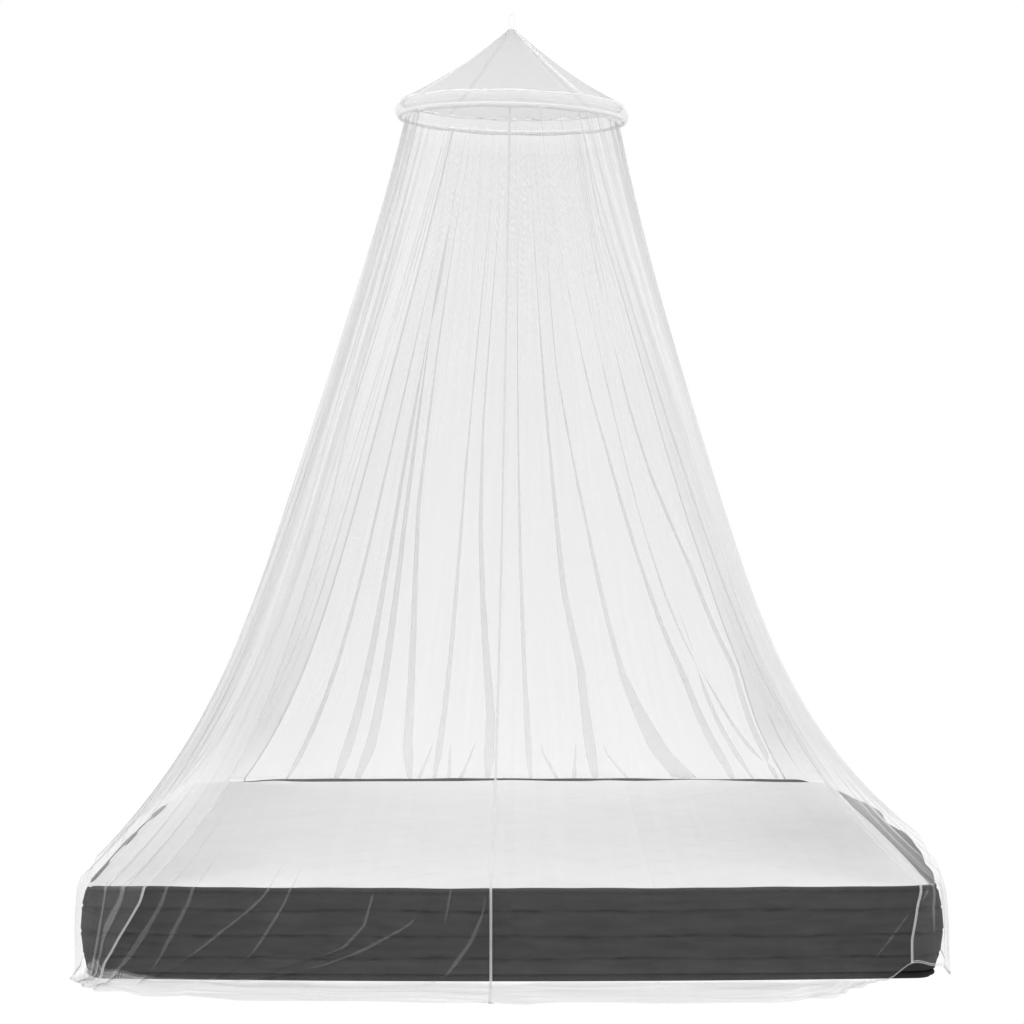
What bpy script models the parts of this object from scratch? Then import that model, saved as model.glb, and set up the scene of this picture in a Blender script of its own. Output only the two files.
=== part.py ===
"""Mosquito net canopy: a net on one round hoop that hangs from a loop and falls over a mattress on the floor.

Units are metres and +Z is up. The origin is on the floor, under the middle of the mattress. -Y is the foot
end, where the net opens. Azimuths are degrees from -Y towards +X. A place along the mattress edge is a length
in metres from the middle of the foot end, towards +X and on round the bed.
"""
import math

import bmesh
import bpy
from mathutils import Vector

GAP = 0.0003  # between pieces that touch on the real thing
CURVE_GAP = 0.0006  # the same, between pieces that follow one curve in unlike facets
SHARP_ANGLE = 40.0  # degrees between faces from which an edge is shaded sharp

# Mattress
MATTRESS_WIDTH = 1.80
MATTRESS_LENGTH = 2.00
CORNER_RADIUS = 0.05
CORNER_STEPS = 4
END_STEPS = 4
SIDE_STEPS = 8
END_BOW = 0.035  # how far the foot and head ends swell out in plan
SIDE_BOW = 0.012
BODY_HEIGHT = 0.186
PIPING_RADIUS = 0.005
PIPING_SIDES = 8
PIPING_INSET = 0.003  # of the top piping's centre from the edge
SEAT_DEPTH = 0.012  # how far the base steps in, for the bottom piping
SEAT_HEIGHT = 0.0145
TOP_PANEL_HEIGHT = 0.013
TOP_PANEL_CROWN = 0.006
TOP_PANEL_EDGE = 0.030  # width of the panel's rounded edge
TOP_PANEL_ROUND = 0.001  # how far the edge has rounded off a third of the way in
TOP_PANEL_MIDDLE = 0.7  # share of the panel's width and length that lies at the top of the crown
# The border's side, from the floor up: height, how far it stands out of the plan outline, share of SHOULDER
BORDER_SECTION = (
    (0.000, -SEAT_DEPTH, 0.0),
    (SEAT_HEIGHT, -SEAT_DEPTH, 0.0),
    (SEAT_HEIGHT + 0.003, -0.001, 0.0),
    (0.050, 0.007, 0.5),
    (0.100, 0.011, 0.9),
    (0.150, 0.007, 1.0),
    (BODY_HEIGHT - 0.006, 0.001, 1.0),
    (BODY_HEIGHT, -0.004, 1.0),
)
# Where the soft border sags out past its piping: place along the mattress edge, and how far
SHOULDER = (
    (0.00, 0.000),
    (1.15, 0.000),
    (1.48, 0.022),
    (1.74, 0.034),
    (2.30, 0.034),
    (2.81, 0.016),
    (3.10, 0.000),
    (5.50, 0.000),
    (6.00, 0.008),
    (6.60, 0.012),
    (7.20, 0.008),
    (7.45, 0.000),
    (8.60, 0.000),
)

# Hoop, casing and crown
CANOPY_X = 0.004  # the canopy hangs this far off the middle of the bed
HOOP_RADIUS = 0.275
HOOP_TUBE_RADIUS = 0.005
HOOP_HEIGHT = 1.947  # of the casing's middle
HOOP_TILT = 0.026  # fall for each metre towards +X
HOOP_STEPS = 48
CASING_HEIGHT = 0.038
CASING_DEPTH = 0.025  # from its open inner side to its outer wall
CASING_SHEET = 0.0012
CASING_STEPS = 72
RUFFLE_DEPTH = 0.007
RUFFLE_WAVES = (17, 26)  # two uneven runs of waves round the hoop
CROWN_HEIGHT = 0.187
CROWN_SAG = 0.008  # how far the cone's side hangs below a straight line
CROWN_GORE_SAG = 0.006  # how much further it hangs midway between two tapes
CROWN_TIP_RADIUS = 0.008
CROWN_ROWS = 5
CROWN_GORE_STEPS = 10  # facets from one tape to the next
TAPE_AZIMUTHS = (38.0, 128.0, 215.0, 305.0)
TAPE_WIDTH = 0.014
TAPE_SHEET = 0.0012
TAPE_TOP_RADIUS = 0.014  # of the circle where the tapes start
TAPE_END = 0.975  # share of the cone's side that the tapes reach down to
HOOP_SIDES = 8

# Hanging loop
LOOP_WIDTH = 0.015
LOOP_HEIGHT = 0.036
LOOP_TAPE_WIDTH = 0.008
LOOP_SHEET = 0.0028
LOOP_ARC_STEPS = 8

# Net
NET_SHEET = 0.002
SEAM_GAP = 0.0004
SKIRT_TOP_RADIUS = 0.256
COLUMN_PITCH = 0.09  # of the skirt's columns along the mattress edge
CORNER_CLOTH = 0.35  # length of edge that each corner counts for, because cloth bunches there
EDGE_CLEARANCE = 0.0040  # of the sheet's middle from the mattress edge
EDGE_HEIGHT = 0.2000  # of the sheet's middle where it breaks over the edge
BELL_FLARE = 2.6  # how much more the bell hangs in near the edge than near the hoop
BELL_ROWS = (0.0, 0.05, 0.13, 0.24, 0.36, 0.49, 0.61, 0.73, 0.83, 0.92, 1.0)
FALL_ROWS = 6
FLOOR_HEIGHT = 0.0015  # of the sheet's middle where it lies on the floor
FOOT_CURVE = 0.06  # how far out the cloth has turned from its fall to the floor
# The fall from the mattress edge to the floor: how far out, and height, of the sheet's middle
FALL_SECTION = (
    (0.000, EDGE_HEIGHT),
    (0.009, 0.180),
    (0.014, 0.120),
    (0.015, 0.055),
)
# The turn on to the floor: share of FOOT_CURVE, and height
FOOT_SECTION = (
    (0.15, 0.025),
    (0.50, 0.008),
    (1.00, FLOOR_HEIGHT),
)

# Skirt widths, from the opening on round: azimuth at the hoop and place along the edge where each starts
FOOT_HALF = MATTRESS_WIDTH / 2 - CORNER_RADIUS
SIDE_RUN = MATTRESS_LENGTH - 2 * CORNER_RADIUS
HEAD_MIDDLE = FOOT_HALF + 2 * CORNER_CLOTH + SIDE_RUN + FOOT_HALF
EDGE_TOTAL = 2 * HEAD_MIDDLE
PANELS = (
    ("skirt_front_right", -1.0, -0.04),
    ("skirt_right", 38.0, 0.84),
    ("skirt_back", 128.0, HEAD_MIDDLE - 0.78),
    ("skirt_left", 215.0, HEAD_MIDDLE + 0.75),
    ("skirt_front_left", 305.0, EDGE_TOTAL - 0.72),
)

# Folds of the skirt: place along the mattress edge, half width there, and how far the crest stands out
FOLDS = (
    (0.09, 0.12, 0.010),
    (0.36, 0.16, 0.014),
    (0.63, 0.13, 0.012),
    (0.93, 0.14, 0.016),
    (1.28, 0.16, 0.012),
    (1.58, 0.15, 0.018),
    (1.93, 0.18, 0.014),
    (2.27, 0.14, 0.020),
    (2.60, 0.16, 0.013),
    (2.93, 0.15, 0.018),
    (3.28, 0.14, 0.012),
    (3.60, 0.12, 0.020),
    (3.80, 0.13, 0.030),
    (4.07, 0.14, 0.024),
    (4.36, 0.13, 0.026),
    (4.58, 0.12, 0.018),
    (4.79, 0.14, 0.028),
    (5.06, 0.13, 0.016),
    (5.36, 0.15, 0.012),
    (5.70, 0.16, 0.018),
    (6.02, 0.15, 0.013),
    (6.36, 0.18, 0.020),
    (6.71, 0.15, 0.014),
    (7.03, 0.14, 0.018),
    (7.33, 0.15, 0.012),
    (7.60, 0.12, 0.012),
    (7.79, 0.11, 0.026),
    (7.97, 0.11, 0.014),
    (8.14, 0.11, 0.020),
    (8.38, 0.14, 0.012),
)
# How much of a fold's depth shows down the bell, at the edge, on the fall and at the hem
FOLD_AT_HOOP = 0.25
FULL_FOLD_SHARE = 0.7  # share of the way down the bell where all of it shows
FOLD_AT_EDGE = 0.55
FOLD_AT_HEM = 0.60

# How far the bell's side hangs in from a straight line, hoop to edge: place along the mattress edge, share
BELL_SAG = (
    (0.00, 0.34),
    (0.85, 0.48),
    (1.50, 0.57),
    (2.20, 0.56),
    (3.25, 0.34),
    (4.30, 0.31),
    (5.30, 0.33),
    (6.10, 0.45),
    (7.75, 0.45),
    (8.60, 0.34),
)

# The hem: place along the mattress edge, and how far the cloth runs out on the floor there. A negative run is
# the height at which the hem hangs above the floor.
HEM = (
    (-0.04, 0.23),
    (0.46, 0.23),
    (0.57, 0.22),
    (0.65, 0.19),
    (0.72, 0.08),
    (0.78, 0.00),
    (0.85, -0.038),
    (0.97, -0.030),
    (1.20, 0.00),
    (1.70, 0.03),
    (2.15, 0.08),
    (2.65, 0.14),
    (3.28, 0.06),
    (3.75, 0.16),
    (4.30, 0.20),
    (4.90, 0.16),
    (5.33, 0.06),
    (5.95, 0.14),
    (6.45, 0.08),
    (6.95, 0.03),
    (7.40, 0.00),
    (7.58, 0.03),
    (7.66, 0.06),
    (7.76, 0.13),
    (7.87, 0.18),
    (8.10, 0.21),
    (8.56, 0.23),
)


def clear_scene():
    for old in list(bpy.data.objects):
        bpy.data.objects.remove(old, do_unlink=True)


def material(name, colour, roughness, metallic=0.0):
    """A Principled material, made once and shared."""
    found = bpy.data.materials.get(name)
    if found:
        return found
    made = bpy.data.materials.new(name)
    made.use_nodes = True
    shader = made.node_tree.nodes["Principled BSDF"]
    shader.inputs["Base Color"].default_value = (*colour, 1.0)
    shader.inputs["Roughness"].default_value = roughness
    shader.inputs["Metallic"].default_value = metallic
    made.diffuse_color = (*colour, 1.0)
    return made


def net_material():
    return material("white_net", (0.86, 0.86, 0.86), 0.85)


def tape_material():
    return material("white_tape", (0.92, 0.92, 0.92), 0.75)


def hoop_material():
    return material("white_tube", (0.90, 0.90, 0.89), 0.40)


def border_material():
    return material("charcoal_cloth", (0.065, 0.065, 0.066), 0.85)


def piping_material():
    return material("charcoal_piping", (0.045, 0.045, 0.046), 0.80)


def top_material():
    return material("pale_knit", (0.78, 0.78, 0.78), 0.90)


def finish(name, mesh_bm, surface):
    """Turns a bmesh into a named object with outward faces and one material."""
    bmesh.ops.recalc_face_normals(mesh_bm, faces=mesh_bm.faces)
    mesh = bpy.data.meshes.new(name)
    mesh_bm.to_mesh(mesh)
    mesh_bm.free()
    mesh.materials.append(surface)
    made = bpy.data.objects.new(name, mesh)
    bpy.context.collection.objects.link(made)
    mesh.shade_smooth()
    mesh.set_sharp_from_angle(angle=math.radians(SHARP_ANGLE))
    return made


def bridge(mesh_bm, ring_a, ring_b, closed=True):
    """Quads between two rows of vertices of the same length."""
    last = len(ring_a) if closed else len(ring_a) - 1
    for i in range(last):
        j = (i + 1) % len(ring_a)
        mesh_bm.faces.new((ring_a[i], ring_a[j], ring_b[j], ring_b[i]))


def ring_solid(sections):
    """A closed ring from one closed section of points after another."""
    mesh_bm = bmesh.new()
    rings = [[mesh_bm.verts.new(p) for p in section] for section in sections]
    for i, ring in enumerate(rings):
        bridge(mesh_bm, ring, rings[(i + 1) % len(rings)])
    return mesh_bm


def stack_solid(levels):
    """A solid from closed outlines one above another, with flat ends."""
    mesh_bm = bmesh.new()
    rings = [[mesh_bm.verts.new(p) for p in level] for level in levels]
    for lower, upper in zip(rings, rings[1:]):
        bridge(mesh_bm, lower, upper)
    mesh_bm.faces.new(rings[0])
    mesh_bm.faces.new(rings[-1])
    return mesh_bm


def surface_normals(columns, closed):
    """Unit normals of a grid of points, held as columns that run down a sheet."""
    count = len(columns)
    rows = len(columns[0])
    normals = []
    for i in range(count):
        ahead = (i + 1) % count if closed else min(i + 1, count - 1)
        behind = (i - 1) % count if closed else max(i - 1, 0)
        normals.append([])
        for j in range(rows):
            along = columns[ahead][j] - columns[behind][j]
            down = columns[i][min(j + 1, rows - 1)] - columns[i][max(j - 1, 0)]
            normals[i].append(down.cross(along).normalized())
    return normals


def sheet_solid(columns, normals, thickness):
    """A sheet of even thickness on an open grid of points."""
    mesh_bm = bmesh.new()
    half = thickness / 2
    front = [[mesh_bm.verts.new(p + n * half) for p, n in zip(*c)] for c in zip(columns, normals)]
    back = [[mesh_bm.verts.new(p - n * half) for p, n in zip(*c)] for c in zip(columns, normals)]
    for side in (front, back):
        for left, right in zip(side, side[1:]):
            bridge(mesh_bm, left, right, closed=False)
    bridge(mesh_bm, front[0], back[0], closed=False)
    bridge(mesh_bm, front[-1], back[-1], closed=False)
    bridge(mesh_bm, [c[0] for c in front], [c[0] for c in back], closed=False)
    bridge(mesh_bm, [c[-1] for c in front], [c[-1] for c in back], closed=False)
    return mesh_bm


def blend(table, place):
    """The value at a place of a table of (place, value), eased between its rows."""
    place = (place - table[0][0]) % EDGE_TOTAL + table[0][0]
    for (low, a), (high, b) in zip(table, table[1:]):
        if place <= high:
            share = (place - low) / (high - low)
            return a + (b - a) * (0.5 - 0.5 * math.cos(math.pi * share))
    return table[-1][1]


# Mattress


def edge_spans():
    """The bed's outline, from the foot's middle, as (start place, length, kind, origin, outward azimuth)."""
    half_w = MATTRESS_WIDTH / 2
    half_l = MATTRESS_LENGTH / 2
    inner_w = half_w - CORNER_RADIUS
    inner_l = half_l - CORNER_RADIUS
    runs = (
        (FOOT_HALF, "straight", Vector((0, -half_l, 0)), 0),
        (CORNER_CLOTH, "corner", Vector((inner_w, -inner_l, 0)), 0),
        (SIDE_RUN, "straight", Vector((half_w, -inner_l, 0)), 90),
        (CORNER_CLOTH, "corner", Vector((inner_w, inner_l, 0)), 90),
        (2 * FOOT_HALF, "straight", Vector((inner_w, half_l, 0)), 180),
        (CORNER_CLOTH, "corner", Vector((-inner_w, inner_l, 0)), 180),
        (SIDE_RUN, "straight", Vector((-half_w, inner_l, 0)), 270),
        (CORNER_CLOTH, "corner", Vector((-inner_w, -inner_l, 0)), 270),
        (FOOT_HALF, "straight", Vector((-inner_w, -half_l, 0)), 360),
    )
    spans = []
    place = 0.0
    for length, kind, start, heading in runs:
        spans.append((place, length, kind, start, heading))
        place += length
    return spans


SPANS = edge_spans()


def compass(degrees):
    """The outward direction at an azimuth."""
    angle = math.radians(degrees)
    return Vector((math.sin(angle), -math.cos(angle), 0))


def edge_point(place, out=0.0):
    """A point of the mattress's plan outline, pushed out by a distance, and the outward direction there."""
    place %= EDGE_TOTAL
    for start, length, kind, origin, heading in SPANS:
        if place <= start + length:
            break
    share = (place - start) / length
    if kind == "corner":
        outward = compass(heading + 90 * share)
        return origin + outward * (CORNER_RADIUS + out), outward
    outward = compass(heading)
    along = compass(heading + 90)
    point = origin + along * (place - start)
    half = SIDE_RUN / 2 if heading in (90, 270) else FOOT_HALF
    bow = SIDE_BOW if heading in (90, 270) else END_BOW
    across = abs(point.dot(along)) / half
    return point + outward * (out + bow * (1 - across**2)), outward


def outline_places():
    """Places round the mattress, closer together at its corners."""
    places = []
    for start, length, kind, _, heading in SPANS:
        steps = CORNER_STEPS if kind == "corner" else SIDE_STEPS
        if kind == "straight" and heading in (0, 180, 360):
            steps = END_STEPS if heading == 180 else END_STEPS // 2
        places += [start + length * i / steps for i in range(steps)]
    return places


def outline(out, height, shoulder=0.0):
    """The plan outline at a height, pushed out by a distance and by a share of SHOULDER."""
    points = []
    for place in outline_places():
        point, _ = edge_point(place, out + shoulder * blend(SHOULDER, place))
        points.append(point + Vector((0, 0, height)))
    return points


def build_mattress_body():
    levels = [outline(out, height, shoulder) for height, out, shoulder in BORDER_SECTION]
    return finish("mattress_body", stack_solid(levels), border_material())


def build_piping(name, out, height):
    """A round cord that follows the mattress edge."""
    sections = []
    for place in outline_places():
        centre, outward = edge_point(place, out)
        centre.z = height
        section = []
        for k in range(PIPING_SIDES):
            turn = math.tau * k / PIPING_SIDES
            spoke = outward * math.cos(turn) + Vector((0, 0, math.sin(turn)))
            section.append(centre + spoke * PIPING_RADIUS)
        sections.append(section)
    return finish(name, ring_solid(sections), piping_material())


def build_top_panel():
    """The knitted top, inside the piping, with a rounded edge and a slight crown."""
    out = -(PIPING_INSET + PIPING_RADIUS + CURVE_GAP)
    low = BODY_HEIGHT + GAP
    high = low + TOP_PANEL_HEIGHT
    middle = [p * TOP_PANEL_MIDDLE for p in outline(out, 0.0)]
    levels = (
        outline(out, low),
        outline(out, low + TOP_PANEL_HEIGHT / 2),
        outline(out - TOP_PANEL_EDGE / 3, high - TOP_PANEL_ROUND),
        outline(out - TOP_PANEL_EDGE, high),
        [p + Vector((0, 0, high + TOP_PANEL_CROWN)) for p in middle],
    )
    return finish("mattress_top_panel", stack_solid(levels), top_material())


# Hoop, casing, crown and loop


def canopy_point(azimuth, radius, height):
    """A point round the canopy's axis, lowered towards +X as the hoop is."""
    outward = compass(azimuth) * radius
    return outward + Vector((CANOPY_X, 0, height - HOOP_TILT * outward.x))


def ruffle(azimuth):
    """How far the casing's outer wall stands out at an azimuth, from 0 to RUFFLE_DEPTH."""
    few, many = RUFFLE_WAVES
    angle = math.radians(azimuth)
    wave = 0.6 * math.sin(few * angle + 0.7) + 0.4 * math.sin(many * angle + 2.1)
    return RUFFLE_DEPTH * (0.5 + 0.5 * wave)


def build_hoop():
    """The tube lies on the casing's lower lip and against its outer wall."""
    middle = HOOP_HEIGHT - CASING_HEIGHT / 2 + CASING_SHEET + GAP + HOOP_TUBE_RADIUS
    sections = []
    for i in range(HOOP_STEPS):
        azimuth = 360 * i / HOOP_STEPS
        sections.append([])
        for k in range(HOOP_SIDES):
            turn = math.tau * k / HOOP_SIDES
            radius = HOOP_RADIUS + math.cos(turn) * HOOP_TUBE_RADIUS
            sections[i].append(canopy_point(azimuth, radius, middle + math.sin(turn) * HOOP_TUBE_RADIUS))
    return finish("hoop", ring_solid(sections), hoop_material())


def build_casing():
    """A sleeve open to the inside, with an outer wall that ruffles."""
    wall = HOOP_RADIUS + HOOP_TUBE_RADIUS + CURVE_GAP
    inner = wall - CASING_DEPTH
    low = HOOP_HEIGHT - CASING_HEIGHT / 2
    high = HOOP_HEIGHT + CASING_HEIGHT / 2
    sections = []
    for i in range(CASING_STEPS):
        azimuth = 360 * i / CASING_STEPS
        near = wall + ruffle(azimuth)
        far = near + CASING_SHEET
        corners = (
            (inner, low),
            (far, low),
            (far, high),
            (inner, high),
            (inner, high - CASING_SHEET),
            (near, high - CASING_SHEET),
            (near, low + CASING_SHEET),
            (inner, low + CASING_SHEET),
        )
        sections.append([canopy_point(azimuth, radius, height) for radius, height in corners])
    return finish("hoop_casing", ring_solid(sections), tape_material())


def crown_azimuths():
    """Azimuths of the crown's columns, each with its share of the way from one tape to the next."""
    half_tape = math.degrees(TAPE_WIDTH / 2 / HOOP_RADIUS)
    places = []
    for tape, after in zip(TAPE_AZIMUTHS, TAPE_AZIMUTHS[1:] + (TAPE_AZIMUTHS[0] + 360,)):
        start = tape + half_tape
        stop = after - half_tape
        for i in range(CROWN_GORE_STEPS + 1):
            share = i / CROWN_GORE_STEPS
            places.append((start + (stop - start) * share, share))
    return places


def crown_profile(share, between):
    """Radius and height of the crown's sheet, from its tip at 0 to its rim at 1."""
    radius = CROWN_TIP_RADIUS + (HOOP_RADIUS - CROWN_TIP_RADIUS) * share
    foot = HOOP_HEIGHT + CASING_HEIGHT / 2 + GAP + NET_SHEET / 2
    sag = CROWN_SAG + CROWN_GORE_SAG * math.sin(math.pi * between)
    return radius, foot + CROWN_HEIGHT * (1 - share) - 4 * sag * share * (1 - share)


def crown_columns():
    columns = []
    for azimuth, between in crown_azimuths():
        profile = [crown_profile(i / CROWN_ROWS, between) for i in range(CROWN_ROWS + 1)]
        columns.append([canopy_point(azimuth, radius, height) for radius, height in profile])
    return columns


def build_crown():
    """The cone: one sheet, closed at its tip and open below."""
    columns = crown_columns()
    normals = surface_normals(columns, closed=True)
    half = NET_SHEET / 2
    mesh_bm = bmesh.new()
    tip = Vector((CANOPY_X, 0, columns[0][0].z))
    rims = []
    for sign in (1, -1):
        grid = [[mesh_bm.verts.new(p + n * half * sign) for p, n in zip(*c)] for c in zip(columns, normals)]
        for i, column in enumerate(grid):
            bridge(mesh_bm, column, grid[(i + 1) % len(grid)], closed=False)
        top = mesh_bm.verts.new(tip + Vector((0, 0, half * sign)))
        for i, column in enumerate(grid):
            mesh_bm.faces.new((top, column[0], grid[(i + 1) % len(grid)][0]))
        rims.append([column[-1] for column in grid])
    bridge(mesh_bm, *rims)
    return finish("crown_net", mesh_bm, net_material())


def build_tape(number, azimuth):
    """A flat tape on the crown, from the tip down to the hoop."""
    first = TAPE_TOP_RADIUS / HOOP_RADIUS
    shares = [first] + [i / CROWN_ROWS for i in range(1, CROWN_ROWS)] + [TAPE_END]
    middle = [canopy_point(azimuth, *crown_profile(share, 0.0)) for share in shares]
    side = compass(azimuth + 90) * TAPE_WIDTH / 2
    columns = [[p - side for p in middle], [p + side for p in middle]]
    lift = NET_SHEET / 2 + TAPE_SHEET / 2 + CURVE_GAP
    normals = surface_normals(columns, closed=False)
    raised = [[p + n * lift for p, n in zip(*c)] for c in zip(columns, normals)]
    return finish(f"crown_tape_{number}", sheet_solid(raised, normals, TAPE_SHEET), tape_material())


def loop_outline(inset):
    """The hanging loop's outline in X and Z, straight legs under a round top, inset by a distance."""
    radius = LOOP_WIDTH / 2 - inset
    top = LOOP_HEIGHT - LOOP_WIDTH / 2
    points = [(-radius, inset), (radius, inset)]
    for i in range(LOOP_ARC_STEPS + 1):
        angle = math.pi * i / LOOP_ARC_STEPS
        points.append((radius * math.cos(angle), top + radius * math.sin(angle)))
    return points


def build_loop():
    """A folded tape that stands on the crown's tip, open from front to back."""
    foot = canopy_point(0, 0, crown_profile(0, 0)[1] + NET_SHEET / 2 + GAP)
    depth = Vector((0, LOOP_TAPE_WIDTH / 2, 0))
    sections = []
    for (x_out, z_out), (x_in, z_in) in zip(loop_outline(0.0), loop_outline(LOOP_SHEET)):
        outer = foot + Vector((x_out, 0, z_out))
        inner = foot + Vector((x_in, 0, z_in))
        sections.append([outer - depth, outer + depth, inner + depth, inner - depth])
    return finish("hanging_loop", ring_solid(sections), tape_material())


# Skirt


def fold_height(place):
    """How far the folds lift the skirt at a place, before they ease off up and down the cloth."""
    height = 0.0
    for middle, half_width, depth in FOLDS:
        offset = (place - middle + EDGE_TOTAL / 2) % EDGE_TOTAL - EDGE_TOTAL / 2
        inside = 1 - (offset / half_width) ** 2
        if inside > 0:
            height += depth * inside**2
    return height


def fold_gain(share):
    """How much of a fold's depth shows at a share of the way down the bell."""
    if share < FULL_FOLD_SHARE:
        return FOLD_AT_HOOP + (1 - FOLD_AT_HOOP) * math.sin(math.pi / 2 * share / FULL_FOLD_SHARE)
    return 1 + (FOLD_AT_EDGE - 1) * (share - FULL_FOLD_SHARE) / (1 - FULL_FOLD_SHARE)


def skirt_places():
    """Every column of the skirt as (azimuth at the hoop, place at the mattress edge, index of its width)."""
    places = []
    for i, (_, azimuth, place) in enumerate(PANELS):
        _, next_azimuth, next_place = PANELS[(i + 1) % len(PANELS)]
        turn = (next_azimuth - azimuth) % 360
        run = (next_place - place) % EDGE_TOTAL
        steps = round(run / COLUMN_PITCH)
        places += [(azimuth + turn * k / steps, place + run * k / steps, i) for k in range(steps)]
    return places


def bell_column(azimuth, place):
    """Points from the hoop down to the mattress edge."""
    top = canopy_point(azimuth, SKIRT_TOP_RADIUS, HOOP_HEIGHT - CASING_HEIGHT / 2 - CURVE_GAP)
    foot, outward = edge_point(place, EDGE_CLEARANCE + blend(SHOULDER, place))
    foot.z = EDGE_HEIGHT
    fold = fold_height(place)
    sag = blend(BELL_SAG, place)
    points = []
    for share in BELL_ROWS:
        spread = share - sag * share * (1 - share) * (1 + BELL_FLARE * share**3)
        facing = compass(azimuth).lerp(outward, share).normalized()
        point = top.lerp(foot, spread)
        point.z = top.z + (foot.z - top.z) * share
        points.append(point + facing * fold * fold_gain(share))
    return points


def fall_section(place, shoulder):
    """The line that the cloth takes below the mattress edge, as (out, height) points."""
    run = blend(HEM, place)
    if run < 0:
        shorter = 1 + run / EDGE_HEIGHT
        rows = FALL_SECTION + tuple((FALL_SECTION[-1][0], height) for _, height in FOOT_SECTION)
        return [Vector((out, EDGE_HEIGHT - (EDGE_HEIGHT - height) * shorter)) for out, height in rows]
    side = FALL_SECTION[-1][0]
    run = max(run - shoulder, 0.0)
    turn = min(run, FOOT_CURVE)
    section = [Vector(row) for row in FALL_SECTION]
    section += [Vector((side + turn * share, height)) for share, height in FOOT_SECTION]
    if run > turn:
        section.append(Vector((side + run, FLOOR_HEIGHT)))
    return section


def walk(line, distance):
    """The point and the direction at a distance along a line of points."""
    for start, end in zip(line, line[1:]):
        step = end - start
        if distance <= step.length or end is line[-1]:
            return start + step * (distance / step.length), step.normalized()
        distance -= step.length


def fall_column(place):
    """Points below the mattress edge, down its side and out on the floor as far as the hem."""
    shoulder = blend(SHOULDER, place)
    section = fall_section(place, shoulder)
    total = sum((b - a).length for a, b in zip(section, section[1:]))
    base, outward = edge_point(place, EDGE_CLEARANCE + shoulder)
    fold = fold_height(place)
    points = []
    for row in range(1, FALL_ROWS + 1):
        share = row / FALL_ROWS
        (out, height), (forward, upward) = walk(section, total * share)
        lift = fold * (FOLD_AT_EDGE + (FOLD_AT_HEM - FOLD_AT_EDGE) * share)
        points.append(base + outward * (out - upward * lift) + Vector((0, 0, height + forward * lift)))
    return points


def build_skirt():
    """Five widths sewn side by side, each its own solid."""
    places = skirt_places()
    columns = [bell_column(azimuth, place) + fall_column(place) for azimuth, place, _ in places]
    normals = surface_normals(columns, closed=True)
    for column in normals:
        column[0] = Vector((column[0].x, column[0].y, 0)).normalized()
    count = len(columns)
    for number, (name, _, _) in enumerate(PANELS):
        first = [i for i, (_, _, owner) in enumerate(places) if owner == number]
        own = first + [(first[-1] + 1) % count]
        grid = [list(columns[i]) for i in own]
        facing = [normals[i] for i in own]
        for edge, inside in ((0, 1), (-1, -2)):
            shifted = [p + (q - p).normalized() * SEAM_GAP / 2 for p, q in zip(grid[edge], grid[inside])]
            grid[edge] = shifted
        finish(name, sheet_solid(grid, facing, NET_SHEET), net_material())


def build():
    clear_scene()
    build_mattress_body()
    build_top_panel()
    build_piping("mattress_piping_top", -PIPING_INSET, BODY_HEIGHT + GAP + PIPING_RADIUS)
    build_piping(
        "mattress_piping_bottom",
        PIPING_RADIUS + GAP - SEAT_DEPTH,
        SEAT_HEIGHT - PIPING_RADIUS - CURVE_GAP,
    )
    build_hoop()
    build_casing()
    build_crown()
    for number, azimuth in enumerate(TAPE_AZIMUTHS, start=1):
        build_tape(number, azimuth)
    build_loop()
    build_skirt()


build()
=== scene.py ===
"""Visual model of the mosquito net canopy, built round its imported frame.

Units are metres and +Z is up. -Y is the foot end. Azimuths are degrees from -Y towards +X. A place along the
mattress edge is a length in metres from the middle of the foot end, towards +X and on round the bed.
"""
import math

import bmesh
import bpy
import numpy as np
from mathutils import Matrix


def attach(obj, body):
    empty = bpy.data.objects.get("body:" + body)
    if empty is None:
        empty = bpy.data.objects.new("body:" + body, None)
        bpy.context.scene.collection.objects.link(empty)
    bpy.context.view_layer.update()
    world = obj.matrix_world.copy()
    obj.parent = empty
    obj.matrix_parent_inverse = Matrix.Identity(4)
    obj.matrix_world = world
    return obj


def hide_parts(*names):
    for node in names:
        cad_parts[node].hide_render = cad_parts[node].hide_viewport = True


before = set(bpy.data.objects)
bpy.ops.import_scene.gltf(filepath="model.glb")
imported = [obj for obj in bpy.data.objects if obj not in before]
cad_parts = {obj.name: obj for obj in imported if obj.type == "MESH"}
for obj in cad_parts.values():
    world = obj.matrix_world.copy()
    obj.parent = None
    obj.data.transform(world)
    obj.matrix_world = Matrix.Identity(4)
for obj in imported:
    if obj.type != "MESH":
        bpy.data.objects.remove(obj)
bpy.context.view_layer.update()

TAU = math.tau

# Mattress, as in the frame
HALF_WIDTH = 0.90
HALF_LENGTH = 1.00
CORNER_RADIUS = 0.05
END_BOW = 0.035
SIDE_BOW = 0.012
BODY_HEIGHT = 0.186
SEAT_DEPTH = 0.012
SEAT_HEIGHT = 0.0145
CORNER_CLOTH = 0.35
FOOT_HALF = HALF_WIDTH - CORNER_RADIUS
SIDE_RUN = 2 * (HALF_LENGTH - CORNER_RADIUS)
HEAD_MIDDLE = 2 * FOOT_HALF + 2 * CORNER_CLOTH + SIDE_RUN
EDGE_TOTAL = 2 * HEAD_MIDDLE

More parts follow.
